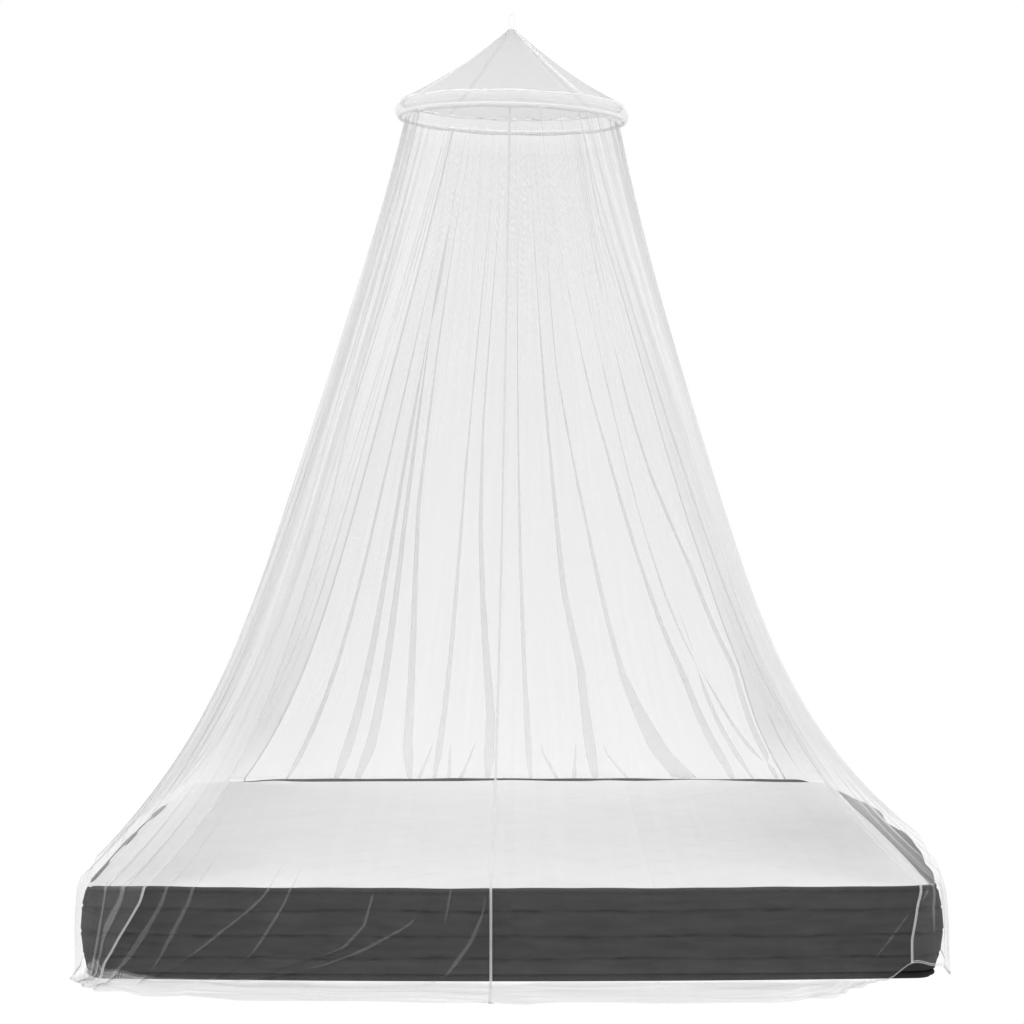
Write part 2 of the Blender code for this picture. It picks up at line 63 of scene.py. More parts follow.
# Canopy, as in the frame
CANOPY_X = 0.004
HOOP_RADIUS = 0.275
HOOP_TUBE = 0.005
HOOP_MIDDLE = 1.947
HOOP_TILT = 0.026
CASING_HALF = 0.019
CROWN_FOOT = HOOP_MIDDLE + CASING_HALF + 0.0013
CROWN_HEIGHT = 0.187
CROWN_TIP = 0.008
CROWN_SAG = 0.008
CROWN_GORE_SAG = 0.006
TAPE_AZIMUTHS = (38.0, 128.0, 215.0, 305.0)
SKIRT_TOP_RADIUS = 0.256
EDGE_CLEARANCE = 0.0040
EDGE_HEIGHT = 0.2000
BELL_FLARE = 2.6

# Where each width of the skirt starts: azimuth at the hoop and place along the edge
SEAMS = (
    ("front_right", -1, -0.04),
    ("right", 38, 0.84),
    ("back", 128, 3.52),
    ("left", 215, 5.05),
    ("front_left", 305, 7.88),
    ("end", 359, 8.56),
)
SHOULDER = (
    (0, 0), (0.86, 0), (1.02, 0.004), (1.2, 0.006), (1.5, 0.03), (1.6, 0.028), (1.78, 0.048),
    (2.08, 0.058), (2.29, 0.04), (2.5, 0.056), (2.66, 0.05), (2.84, 0.026), (3.08, 0),
    (5.5, 0), (6, 0.008), (6.6, 0.012), (7.2, 0.008), (7.45, 0), (8.6, 0),
)
BELL_SAG = (
    (0, 0.34), (0.85, 0.48), (1.5, 0.57), (2.2, 0.56), (3.25, 0.34),
    (4.3, 0.31), (5.3, 0.33), (6.1, 0.45), (7.75, 0.45), (8.6, 0.34),
)
HEM = (
    (-0.04, 0.23), (0.46, 0.23), (0.57, 0.22), (0.65, 0.19), (0.72, 0.08), (0.78, 0), (0.85, -0.038),
    (0.97, -0.03), (1.2, 0), (1.7, 0.03), (2.15, 0.08), (2.65, 0.14), (3.28, 0.06), (3.75, 0.16),
    (4.3, 0.2), (4.9, 0.16), (5.33, 0.06), (5.95, 0.14), (6.45, 0.08), (6.95, 0.03), (7.4, 0),
    (7.58, 0.03), (7.66, 0.06), (7.76, 0.13), (7.87, 0.18), (8.1, 0.21), (8.56, 0.23),
)
# Main folds: place along the edge, half width there, and how far the crest stands out
FOLDS = (
    (0.09, 0.12, 0.01), (0.36, 0.16, 0.014), (0.63, 0.13, 0.012), (0.93, 0.14, 0.016), (1.28, 0.16, 0.012),
    (1.58, 0.15, 0.018), (1.93, 0.18, 0.014), (2.27, 0.14, 0.02), (2.6, 0.16, 0.013), (2.93, 0.15, 0.018),
    (3.28, 0.14, 0.012), (3.6, 0.12, 0.02), (3.8, 0.13, 0.03), (4.07, 0.14, 0.024), (4.36, 0.13, 0.026),
    (4.58, 0.12, 0.018), (4.79, 0.14, 0.028), (5.06, 0.13, 0.016), (5.36, 0.15, 0.012), (5.7, 0.16, 0.018),
    (6.02, 0.15, 0.013), (6.36, 0.18, 0.02), (6.71, 0.15, 0.014), (7.03, 0.14, 0.018), (7.33, 0.15, 0.012),
    (7.6, 0.12, 0.012), (7.79, 0.11, 0.026), (7.97, 0.11, 0.014), (8.14, 0.11, 0.02), (8.38, 0.14, 0.012),
)
# Pleats where the net doubles back on itself. Each has a path of (depth, place), the half width of cloth in it,
# and rows of (depth, how far it doubles back). Depth is 0 at the hoop, 1 at the mattress edge and 2 at the hem.
SOFT_FADE = ((0, 0.006), (0.3, 0.014), (0.7, 0.021), (0.96, 0.026), (1.06, 0.006), (2, 0.002))
LIGHT_FADE = ((0, 0.004), (0.3, 0.01), (0.7, 0.014), (0.96, 0.017), (1.06, 0.004), (2, 0.001))
FRONT_FADE = ((0.5, 0.003), (0.95, 0.002), (1.02, 0.01), (1.3, 0.012), (1.6, 0.006), (2, 0.001))
BUNCH_FADE = ((0, 0.003), (0.9, 0.002), (1, 0.01), (1.3, 0.014), (1.8, 0.012), (2, 0.008))
FAINT_FADE = ((0, 0.003), (0.95, 0.004), (1.1, 0.005), (2, 0.002))
FOOT_FADE = ((0.92, 0), (0.95, 0.008), (1, 0.012), (1.05, 0.003), (1.1, 0))
PLEATS = (
    (((0.23, 4.497), (0.42, 4.491), (0.58, 4.464), (0.7, 4.43), (0.89, 4.37), (1, 4.362)), 0.024, SOFT_FADE),
    (((0, 4.257), (0.22, 4.196), (0.48, 4.143), (0.68, 4.109), (0.81, 4.063), (1, 4.056)), 0.022, SOFT_FADE),
    (((0, 4.16), (0.34, 4.096), (0.6, 3.982), (0.82, 3.915), (0.95, 3.848), (1, 3.802)), 0.034,
     ((0, 0.01), (0.5, 0.02), (0.8, 0.024), (0.93, 0.042), (1, 0.05), (1.06, 0.014), (2, 0.006))),
    (((0.09, 4.083), (0.26, 3.956), (0.47, 3.855), (0.67, 3.775), (0.84, 3.708), (0.98, 3.668)), 0.026, SOFT_FADE),
    (((0.1, 3.9), (0.34, 3.815), (0.69, 3.708), (1, 3.61)), 0.02, LIGHT_FADE),
    (((0.1, 3.75), (0.33, 3.688), (0.5, 3.648), (0.64, 3.588), (0.81, 3.547), (1, 3.541)), 0.024, SOFT_FADE),
    (((0.6, 3.7), (0.81, 3.655), (0.98, 3.554)), 0.02,
     ((0.6, 0), (0.75, 0.01), (0.96, 0.016), (1.06, 0.004), (2, 0))),
    (((0.1, 4.9), (0.555, 4.805), (0.94, 4.731)), 0.022, SOFT_FADE),
    (((0.1, 4.83), (0.555, 4.752), (0.94, 4.618), (1, 4.584)), 0.026, SOFT_FADE),
    (((0.3, 4.88), (0.72, 4.832), (0.99, 4.792)), 0.024, SOFT_FADE),
    (((0, 4.36), (0.5, 4.3), (1, 4.24)), 0.016, LIGHT_FADE),
    (((0, 4.58), (0.5, 4.555), (1, 4.514)), 0.016, LIGHT_FADE),
    (((0, 4.96), (0.5, 4.95), (1, 4.93)), 0.02, LIGHT_FADE),
    (((0.92, 4.536), (1, 4.556)), 0.013, FOOT_FADE),
    (((0.93, 4.49), (1, 4.472)), 0.013, FOOT_FADE),
    (((0.92, 4.402), (1, 4.438)), 0.013, FOOT_FADE),
    (((0.92, 4.096), (1, 4.116)), 0.013, FOOT_FADE),
    (((0.92, 4.028), (0.96, 4.008), (1, 3.966)), 0.014, FOOT_FADE),
    (((0.95, 4.206), (1, 4.166)), 0.013, FOOT_FADE),
    (((0, 8.2), (0.6, 8.16), (1.017, 8.152), (1.365, 8.097), (1.6, 8.04)), 0.017, FRONT_FADE),
    (((0, 8.18), (1.03, 8.109), (1.25, 8.043), (1.6, 7.96)), 0.014, FRONT_FADE),
    (((0, 8.5), (0.99, 8.477), (1.16, 8.464), (1.5, 8.44)), 0.012,
     ((0.99, 0), (1.03, 0.007), (1.15, 0.007), (1.25, 0))),
    (((0, 8.555), (1.02, 8.549), (1.15, 8.538), (1.28, 8.516), (1.46, 8.464), (1.6, 8.42)), 0.016,
     ((0.95, 0.002), (1.04, 0.011), (1.4, 0.012), (1.55, 0.005), (2, 0.001))),
    (((1, 8.47), (1.2, 8.384), (1.35, 8.28), (1.45, 8.19), (1.55, 8.1), (1.7, 8)), 0.026,
     ((1.06, 0), (1.2, 0.014), (1.35, 0.019), (1.5, 0.019), (1.65, 0))),
    (((1, 8.318), (1.2, 8.296), (1.32, 8.256), (1.45, 8.14)), 0.03,
     ((0.99, 0), (1.05, 0.013), (1.35, 0.017), (1.5, 0))),
    (((0, 7.82), (1, 7.835), (2, 7.85)), 0.014, BUNCH_FADE),
    (((0, 7.77), (1, 7.79), (2, 7.815)), 0.015, BUNCH_FADE),
    (((0, 7.93), (1, 7.925), (2, 7.905)), 0.015, BUNCH_FADE),
    (((0, 7.98), (1, 7.975), (2, 7.945)), 0.012, FRONT_FADE),
    (((1, 0.915), (1.08, 0.885), (1.4, 0.82), (1.8, 0.755)), 0.012,
     ((1, 0), (1.1, 0.008), (1.6, 0.009), (1.8, 0.004), (2, 0))),
    (((0, 0.32), (1, 0.3), (1.6, 0.31)), 0.012, FAINT_FADE),
    (((0, 0.66), (1, 0.7), (1.3, 0.72), (1.6, 0.74)), 0.012, FAINT_FADE),
    (((0, 0.9), (1, 0.93), (1.6, 0.95)), 0.018, FRONT_FADE),
    (((0, 1.02), (1, 1.06), (1.6, 1.07)), 0.018, FRONT_FADE),
)
# Where a seam strays from its place in the frame: place, rows of (depth, how far)
STRAYS = (
    (3.52, ((0.11, 0.135), (0.22, 0.08), (0.33, 0.04), (0.5, 0), (0.65, -0.035), (0.8, -0.045), (0.9, -0.015), (1, 0))),
    (7.88, (
        (0.11, -0.12), (0.2, -0.055), (0.3, -0.035), (0.55, -0.01), (0.9, -0.02), (1, -0.045), (1.1, -0.055),
        (1.35, -0.1), (1.6, -0.14), (2, -0.165),
    )),
    (0.84, ((0, 0), (0.9, 0.02), (1, 0.045), (1.1, 0.04), (1.3, 0.012), (1.7, 0))),
)
STRAY_REACH = 0.22
PLEAT_DEPTH = 0.0035
# How solid the net is, by depth: 0 at the hoop, 1 at the mattress edge, 2 at the hem
END_COVER = (
    (0, 0.1), (0.03, 0.28), (0.15, 0.28), (0.3, 0.25), (0.5, 0.215), (0.7, 0.19), (0.9, 0.165), (0.97, 0.15),
    (1.04, 0.07), (2, 0.065),
)
SIDE_COVER = (
    (0, 0.08), (0.03, 0.21), (0.15, 0.24), (0.3, 0.29), (0.5, 0.38), (0.75, 0.53), (0.9, 0.56), (0.97, 0.36),
    (1.02, 0.17), (1.06, 0.12), (2, 0.1),
)
# How much more solid each side width is above the middle of its fall
SIDE_SHARE = {"right": 1.35, "left": 0.95}
# How much more solid the back width is, by place: denser towards its seams
BACK_SHARE = ((3.52, 1.3), (3.68, 1.18), (3.95, 1), (4.6, 1), (4.78, 1.15), (4.92, 1.42), (5.05, 1.55))
# How much more solid the right width is below its middle, by place
RIGHT_SHARE = ((0.84, 0.9), (1.4, 0.96), (1.75, 1.2), (2.35, 1.2), (2.8, 0.94), (3.52, 0.88))
# How far the side widths' colour is darkened towards SHADE_PAINT_COLOUR, by depth: painted shade, deepest near the
# mattress edge
SIDE_SHADE_BY_DEPTH = ((0, 0), (0.45, 0.02), (0.7, 0.14), (0.9, 0.36), (1, 0.40), (1.1, 0.2), (2, 0.1))
FLOOR_COVER = 0.60  # where the net lies on the floor
# The grey that painted shade darkens the net towards, low on the side widths and where the net lies on the floor
SHADE_PAINT_COLOUR = (0.47, 0.47, 0.47)
# How strong the gathers and the creases are, by place
GATHER_SHARE = (
    (0, 0.8), (0.84, 0.8), (1.2, 0.6), (3.1, 0.6), (3.52, 1), (5.05, 1), (5.5, 0.6), (7.5, 0.6), (7.88, 0.8),
    (8.6, 0.8),
)
CREASE_SHARE = (
    (0, 0.3), (0.84, 0.4), (1.2, 0.7), (3.1, 0.7), (3.52, 1), (5.05, 1), (5.5, 0.7), (7.5, 0.7), (7.88, 0.4),
    (8.6, 0.3),
)
# How deep the top piping is pressed under the panel's edge, by place
PIPING_PRESS = (
    (0, 0), (2.55, 0), (2.75, 0.7), (2.95, 1), (3.43, 1), (3.49, 0), (4.94, 0), (5.1, 0.6), (5.2, 1),
    (5.95, 1), (6.05, 0.2), (6.2, 0.1), (6.32, 1), (6.5, 1), (6.6, 0.3), (6.72, 0.2), (6.8, 1),
    (7, 1), (7.1, 0.4), (7.3, 0.3), (7.36, 0.9), (7.52, 0.8), (7.62, 0), (8.6, 0),
)
HEM_WIDTH = 0.007
SEAM_WIDTH = 0.0055
OVERLAP = 0.006  # of the two front widths at the opening
OVERLAP_DROP = 0.0025  # of the lower one under the other
NET_LOWEST, HEM_LOWEST = 0.0009, 0.0014  # heights above the floor
DOUBLING = 3.5  # how sharply the cloth turns back in a pleat or crease
# The net's small creases that come and go, and the border's small wrinkles
CREASE_COUNT = 170
CREASE_SEED = 8600
CREASE_CLEARANCE = 0.04  # from the pleats and seams
WRINKLE_COUNT = 90
WRINKLE_SEED = 2207
# Spacing of the meshes
COLUMN_STEP = 0.0034
BELL_ROWS = 74
FALL_ROWS = 38
OUTLINE_STEP = 0.012
FALL_PITCH = 0.01
FALL_STEPS = 32


# Plain numbers for the surfaces


def wrapped(offset):
    """An offset along the mattress edge, taken the short way round the bed."""
    return (offset + EDGE_TOTAL / 2) % EDGE_TOTAL - EDGE_TOTAL / 2


def read_off(table, at):
    """Values of a table of (at, value), on straight lines between its rows and even past its ends."""
    return np.interp(at, *zip(*table))


def at_height(flat, height):
    """Points in space from points in plan and their heights."""
    return np.concatenate([flat, np.broadcast_to(height, flat.shape[:-1])[..., None]], -1)


def eased(table, place):
    """Values at places of a table of (place, value) that runs round the bed, eased between its rows."""
    rows = np.array(table)
    place = (np.asarray(place) - rows[0, 0]) % EDGE_TOTAL + rows[0, 0]
    after = np.clip(np.searchsorted(rows[:, 0], place), 1, len(rows) - 1)
    low, high = rows[after - 1], rows[after]
    share = np.clip((place - low[..., 0]) / (high[..., 0] - low[..., 0]), 0, 1)
    return low[..., 1] + (high[..., 1] - low[..., 1]) * (0.5 - 0.5 * np.cos(math.pi * share))


def compass(degrees):
    """Outward directions at azimuths, as (..., 2)."""
    angle = np.radians(degrees)
    return np.stack([np.sin(angle), -np.cos(angle)], -1)


def edge_spans():
    """Where each run of the outline starts, and its rows of length, is a corner, origin x and y, and azimuth."""
    end = HALF_LENGTH - CORNER_RADIUS
    runs = np.array((
        (FOOT_HALF, 0, 0, -HALF_LENGTH, 0),
        (CORNER_CLOTH, 1, FOOT_HALF, -end, 0),
        (SIDE_RUN, 0, HALF_WIDTH, -end, 90),
        (CORNER_CLOTH, 1, FOOT_HALF, end, 90),
        (2 * FOOT_HALF, 0, FOOT_HALF, HALF_LENGTH, 180),
        (CORNER_CLOTH, 1, -FOOT_HALF, end, 180),
        (SIDE_RUN, 0, -HALF_WIDTH, end, 270),
        (CORNER_CLOTH, 1, -FOOT_HALF, -end, 270),
        (FOOT_HALF, 0, -FOOT_HALF, -HALF_LENGTH, 360),
    ))
    return np.cumsum([0.0, *runs[:-1, 0]]), runs


SPAN_STARTS, SPANS = edge_spans()


def edge_points(place, out=0.0):
    """Points of the mattress's plan outline, pushed out by a distance, and the outward directions there."""
    place = np.asarray(place) % EDGE_TOTAL
    i = np.clip(np.searchsorted(SPAN_STARTS, place, side="right") - 1, 0, len(SPANS) - 1)
    length, corner, x, y, heading = np.moveaxis(SPANS[i], -1, 0)
    along_run = place - SPAN_STARTS[i]
    corner = corner > 0.5
    outward = compass(heading + np.where(corner, 90 * along_run / length, 0))
    along = compass(heading + 90)
    sideways = np.isin(heading, (90, 270))
    half = np.where(sideways, SIDE_RUN / 2, FOOT_HALF)
    bow = np.where(sideways, SIDE_BOW, END_BOW)
    origin = np.stack([x, y], -1)
    straight = origin + along * along_run[..., None]
    across = np.abs((straight * along).sum(-1)) / half
    push = np.where(corner, CORNER_RADIUS + out, out + bow * (1 - across**2))
    base = np.where(corner[..., None], origin, straight)
    return base + outward * push[..., None], outward


def canopy_points(azimuth, radius, height):
    """Points round the canopy's axis, lowered towards +X as the hoop is, as (..., 3)."""
    flat = compass(azimuth) * np.asarray(radius)[..., None]
    return np.stack([flat[..., 0] + CANOPY_X, flat[..., 1], height - HOOP_TILT * flat[..., 0]], -1)


def hoop_azimuth(place):
    """The azimuth at the hoop of the cloth that reaches a place on the mattress edge."""
    _, angles, places = zip(*SEAMS)
    return np.interp((np.asarray(place) - places[0]) % EDGE_TOTAL + places[0], places, angles)


def fold_heights(place):
    """How far the main folds lift the skirt."""
    height = np.zeros_like(place)
    for middle, half_width, depth in FOLDS:
        height += depth * np.clip(1 - (wrapped(place - middle) / half_width) ** 2, 0, None) ** 2
    return height


def unit(vectors):
    return vectors / np.linalg.norm(vectors, axis=-1, keepdims=True)


def lying_share(height):
    """How much the cloth lies on the floor: 0 from 30 mm up, and 1 below 10 mm."""
    return np.clip((0.03 - height) / 0.02, 0, 1)


def lengths(points):
    """How far along a line of points each one is."""
    return np.concatenate([[0], np.cumsum(np.linalg.norm(np.diff(points, axis=0), axis=1))])


def fall_line(run, shoulder):
    """The line that the cloth takes below the mattress edge, as evenly spaced (out, height) points."""
    side = 0.015
    down = [(0.0, EDGE_HEIGHT), (0.005, 0.193), (0.0095, 0.178), (0.013, 0.140), (0.015, 0.100), (side, 0.055)]
    if run < 0:
        rows = down + [(side + 0.001, 0.030), (side + 0.002, 0.012), (side + 0.002, 0.002)]
        shorter = 1 + run / EDGE_HEIGHT
        line = np.array([(out, EDGE_HEIGHT - (EDGE_HEIGHT - height) * shorter) for out, height in rows])
    else:
        run = max(run - shoulder, 0.0)
        turn = min(run, 0.07)
        foot = ((0.06, 0.032), (0.16, 0.017), (0.32, 0.008), (0.55, 0.0035), (1.0, 0.0016))
        rows = down + [(side + turn * share, height) for share, height in foot]
        if run > turn:
            rows.append((side + run, 0.0014))
        line = np.array(rows)
    walked = lengths(line)
    even = np.linspace(0, walked[-1], FALL_STEPS + 1)
    return np.stack([np.interp(even, walked, line[:, 0]), np.interp(even, walked, line[:, 1])], -1)


FALL_PLACES = np.arange(0, EDGE_TOTAL + FALL_PITCH / 2, FALL_PITCH)
FALL_TABLE = np.array([fall_line(r, s) for r, s in zip(eased(HEM, FALL_PLACES), eased(SHOULDER, FALL_PLACES))])


def fall_points(place, share):
    """(out, height) below the edge, read between the rows of FALL_TABLE."""
    a = (place % EDGE_TOTAL) / FALL_PITCH
    b = np.clip(share, 0, 1) * FALL_STEPS
    i, j = np.minimum(a.astype(int), len(FALL_PLACES) - 2), np.minimum(b.astype(int), FALL_STEPS - 1)
    fa, fb = (a - i)[..., None], (b - j)[..., None]
    low = FALL_TABLE[i, j] * (1 - fb) + FALL_TABLE[i, j + 1] * fb
    high = FALL_TABLE[i + 1, j] * (1 - fb) + FALL_TABLE[i + 1, j + 1] * fb
    return low * (1 - fa) + high * fa


def drape(place, depth, lift):
    """The skirt's surface at places and depths, raised off it by a distance.

    Depth is 0 at the hoop, 1 at the mattress edge and 2 at the hem.
    """
    share = np.clip(depth, 0, 1)
    azimuth = hoop_azimuth(place)
    shoulder = eased(SHOULDER, place)
    top = canopy_points(azimuth, np.full_like(place, SKIRT_TOP_RADIUS), HOOP_MIDDLE - CASING_HALF - 0.0006)
    foot, outward = edge_points(place, EDGE_CLEARANCE + shoulder)
    sag = eased(BELL_SAG, place)
    spread = (share - sag * share * (1 - share) * (1 + BELL_FLARE * share**3))[..., None]
    facing = unit(compass(azimuth) * (1 - share[..., None]) + outward * share[..., None])
    gain = np.where(share < 0.7, 0.25 + 0.75 * np.sin(math.pi / 2 * share / 0.7), 1 - 0.45 * (share - 0.7) / 0.3)
    height = fold_heights(place)
    raised = (height * gain + lift)[..., None]
    bell_flat = top[..., :2] * (1 - spread) + foot * spread + facing * raised
    bell = at_height(bell_flat, top[..., 2] + (EDGE_HEIGHT - top[..., 2]) * share)
    below = np.clip(depth - 1, 0, 1)
    line = fall_points(place, below)
    ahead = fall_points(place, below + 0.02) - fall_points(place, below - 0.02)
    ahead /= np.linalg.norm(ahead, axis=-1, keepdims=True) + 1e-9
    lying = lying_share(line[..., 1])
    ridge = np.sin(TAU * line[..., 0] / 0.068 + 3.4 * np.sin(TAU * place / 1.07) + 1.6 * np.sin(TAU * place / 0.43))
    rise = height * (0.55 + 0.05 * below) * (1 - 0.85 * lying) + lift + 0.0022 * lying * (1 + ridge)
    fall_flat = foot + outward * (line[..., 0] - ahead[..., 1] * rise)[..., None]
    fall = at_height(fall_flat, line[..., 1] + ahead[..., 0] * rise)
    return np.where((depth > 1)[..., None], fall, bell)


def near_seams(cloth, reach):
    """1 on a seam, falling to 0 a few times reach away."""
    near = np.zeros_like(cloth)
    for _, _, place in SEAMS[:-1]:
        near = np.maximum(near, np.exp(-((wrapped(cloth - place) / reach) ** 2)))
    return near


def draw_creases():
    """Rows of place, half width, doubling back, slant, and the depths where a crease starts and ends."""
    draw = np.random.default_rng(CREASE_SEED)
    place = np.sort(draw.uniform(0, EDGE_TOTAL, CREASE_COUNT))
    half = draw.uniform(0.010, 0.024, CREASE_COUNT)
    back = half * draw.uniform(0.35, 0.85, CREASE_COUNT) * eased(CREASE_SHARE, place)
    slant = draw.uniform(-0.05, 0.05, CREASE_COUNT)
    start = draw.uniform(-0.5, 0.6, CREASE_COUNT)
    stop = start + draw.uniform(0.5, 1.1, CREASE_COUNT)
    rows = np.stack([place, half, back, slant, start, stop], -1)
    taken = [read_off(path, depth) for path, _, _ in PLEATS for depth in (0.2, 0.5, 0.8, 1.0)]
    taken = np.array(taken + [place for _, _, place in SEAMS])
    return rows[np.abs(wrapped(place[:, None] - taken)).min(1) > CREASE_CLEARANCE]


CREASES = draw_creases()


def pleated(cloth, depth):
    """How the pleats move the cloth at a cloth place: sideways along the edge, and outwards."""
    sideways = np.zeros_like(cloth)
    outwards = np.zeros_like(cloth)
    for middle, half, back, slant, start, stop in CREASES:
        t = wrapped(cloth - middle - slant * (depth - 0.5)) / half
        near = np.abs(t) < 1
        if near.any():
            t, d = t[near], depth[near]
            inside = 1 - t**2
            ends = np.clip(4 * (d - start) / (stop - start), 0, 1) * np.clip(4 * (stop - d) / (stop - start), 0, 1)
            below = np.interp(d, (0.94, 1.06), (1.0, 0.35))
            sideways[near] -= back * ends * below * DOUBLING * t * inside**2
            outwards[near] += 0.6 * PLEAT_DEPTH * ends * inside * (1 - 2.0 * t)
    for path, half, fade in PLEATS:
        t = wrapped(cloth - read_off(path, depth)) / half
        inside = np.clip(1 - t**2, 0, None)
        reach = read_off(fade, depth)
        sideways -= reach * DOUBLING * t * inside**2
        outwards += PLEAT_DEPTH * np.minimum(reach / 0.01, 1) * inside * (inside - 2.4 * t * inside)
    sideways *= 1 - near_seams(cloth, 0.018)
    for place, rows in STRAYS:
        sideways += read_off(rows, depth) * np.exp(-((wrapped(cloth - place) / STRAY_REACH) ** 2))
    return sideways, outwards


def ripples(cloth, depth):
    """The fine gathers all round the skirt, as a distance outwards."""
    warp = 1.3 * np.sin(TAU * cloth / 0.614 + 0.4) + 0.8 * np.sin(TAU * cloth / 0.227 + 1.9)
    drift = 0.5 * np.sin(2.1 * depth + TAU * cloth / 1.9)
    coarse = np.sin(TAU * cloth / 0.0478 + warp + drift)
    fine = np.sin(TAU * cloth / 0.0191 + 1.7 * warp + 0.8 * drift)
    wide = np.interp(depth, (0, 0.1, 0.45, 0.85, 1, 1.3), (0.0020, 0.0034, 0.0042, 0.0034, 0.0012, 0.0018))
    narrow = np.interp(depth, (0, 0.12, 0.4, 1.0), (0.0013, 0.0010, 0.0003, 0.0))
    lying = lying_share(fall_points(cloth, depth - 1)[..., 1])
    calm = (1 - 0.85 * near_seams(cloth, 0.03)) * (1 - 0.8 * lying) * eased(GATHER_SHARE, cloth)
    uneven = 0.65 + 0.35 * np.sin(TAU * cloth / 0.83 + 2.2 * depth)
    lifted = np.interp(depth, (0, 0.85, 1.0, 2.0), (0, 0, 1, 1))
    return calm * (wide * uneven * (coarse + lifted) + narrow * (fine + lifted))


def net_points(cloth, depth, lift=0.0):
    """The finished net at cloth places and depths."""
    sideways, outwards = pleated(cloth, depth)
    return drape(cloth + sideways, depth, outwards + ripples(cloth, depth) + lift)


# Meshes


def add_object(name, data):
    made = bpy.data.objects.new(name, data)
    bpy.context.collection.objects.link(made)
    return made


def add_piece(name, mesh, surface, nodes=(), crisp=False):
    """Links a mesh as a piece that rides on the one body and stands for its CAD nodes."""
    piece = add_object(name, mesh)
    mesh.materials.append(surface)
    mesh.shade_smooth()
    if crisp:
        mesh.set_sharp_from_angle(angle=math.radians(40))
    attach(piece, "root")
    if nodes:
        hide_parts(*nodes)
    return piece


def grid_mesh(name, points, across, down, closed_across=False, closed_down=False, facts=None):
    """A mesh of quads on a grid of points (columns, rows, 3), with UVs across and down in metres."""
    columns, rows = points.shape[:2]
    i, j = np.indices((columns - (not closed_across), rows - (not closed_down)))
    ci = np.stack([i, i, i + 1, i + 1], -1).reshape(-1, 4)
    cj = np.stack([j, j + 1, j + 1, j], -1).reshape(-1, 4)
    corners = (ci % columns) * rows + cj % rows
    mesh = bpy.data.meshes.new(name)
    mesh.from_pydata(points.reshape(-1, 3).tolist(), [], corners.tolist())
    uv = np.stack([np.asarray(across)[ci], np.asarray(down)[cj]], -1).reshape(-1)
    mesh.uv_layers.new(name="cloth").data.foreach_set("uv", uv.astype(np.float32))
    for fact, values in (facts or {}).items():
        layer = mesh.attributes.new(fact, "FLOAT", "POINT")
        layer.data.foreach_set("value", np.ascontiguousarray(values, dtype=np.float32).reshape(-1))
    mesh.update()
    return mesh


def strip_mesh(name, line, side, outward, width, thickness):
    """A flat band of even width along a line of points, closed all round."""
    half = side * (width / 2)
    rise = outward * (thickness / 2)
    ring = [line - half - rise, line - half * 0.9 + rise, line + half * 0.9 + rise, line + half - rise]
    points = np.stack(ring, 0)
    return grid_mesh(name, points, np.array([0, 0, width, width, width]), lengths(line), closed_across=True)


# Materials


class Value:
    """An output of a node, with arithmetic that makes the Math nodes for it."""

    def __init__(self, tree, socket):
        self.tree, self.socket = tree, socket

    def math(self, operation, *others):
        return node(self.tree, "Math", dict(enumerate((self, *others))), operation=operation)

    def __add__(self, other):
        return self.math("ADD", other)

    def __sub__(self, other):
        return self.math("SUBTRACT", other)

    def __mul__(self, other):
        return self.math("MULTIPLY", other)

    def wave(self, pitch):
        """A sine wave that repeats every pitch."""
        return (self * (TAU / pitch)).math("SINE")

    def spread(self, low, high, to_low=0.0, to_high=1.0):
        """The range from low to high carried over to another range, and kept inside it."""
        inputs = {"Value": self, "From Min": low, "From Max": high, "To Min": to_low, "To Max": to_high}
        return node(self.tree, "MapRange", inputs)

    def into(self, socket):
        self.tree.links.new(self.socket, socket)


def node(tree, kind, inputs=(), output=0, **settings):
    """An output of a new shader node, whose inputs are numbers, colours or Values to link."""
    made = tree.nodes.new(f"ShaderNode{kind}")
    for key, value in settings.items():
        setattr(made, key, value)
    for key, value in dict(inputs).items():
        if isinstance(value, Value):
            value.into(made.inputs[key])
        else:
            made.inputs[key].default_value = value
    return Value(tree, made.outputs[output])


def mix_colour(factor, first, second):
    """A mix of two colours, each a Value or a plain (red, green, blue)."""
    first, second = (c if isinstance(c, Value) else (*c, 1.0) for c in (first, second))
    return node(factor.tree, "Mix", {"Factor": factor, 6: first, 7: second}, 2, data_type="RGBA")


def start_material(name, roughness, specular):
    """A material, its tree, and the inputs of its Principled shader."""
    made = bpy.data.materials.new(name)
    made.use_nodes = True
    shader = made.node_tree.nodes["Principled BSDF"].inputs
    shader["Roughness"].default_value = roughness
    shader["Specular IOR Level"].default_value = specular
    return made, made.node_tree, shader


def cloth_axes(tree):
    """The cloth's own coordinates across and down, in metres."""
    place = node(tree, "UVMap", uv_map="cloth")
    return node(tree, "SeparateXYZ", {0: place}), node(tree, "SeparateXYZ", {0: place}, 1)


def fact(tree, name):
    """A number that the mesh keeps at its points."""
    return node(tree, "Attribute", output="Fac", attribute_name=name)


def noise(across, down, scale_across, scale_down, detail=3.0):
    """Noise with its own scale each way, from 0 to 1."""
    place = node(across.tree, "CombineXYZ", {0: across * scale_across, 1: down * scale_down})
    return node(across.tree, "TexNoise", {"Vector": place, "Scale": 1.0, "Detail": detail})


def bump(shader, height, distance):
    node(height.tree, "Bump", {"Height": height, "Distance": distance, "Strength": 1.0}).into(shader["Normal"])


HOLE_PITCH = 0.0024
THREAD_LOW, THREAD_HIGH = 0.35, -0.75  # of the waves' sum: a hole's rim, and the middle of a thread
THREAD_FLOOR = 0.45  # how solid a hole counts, against a thread


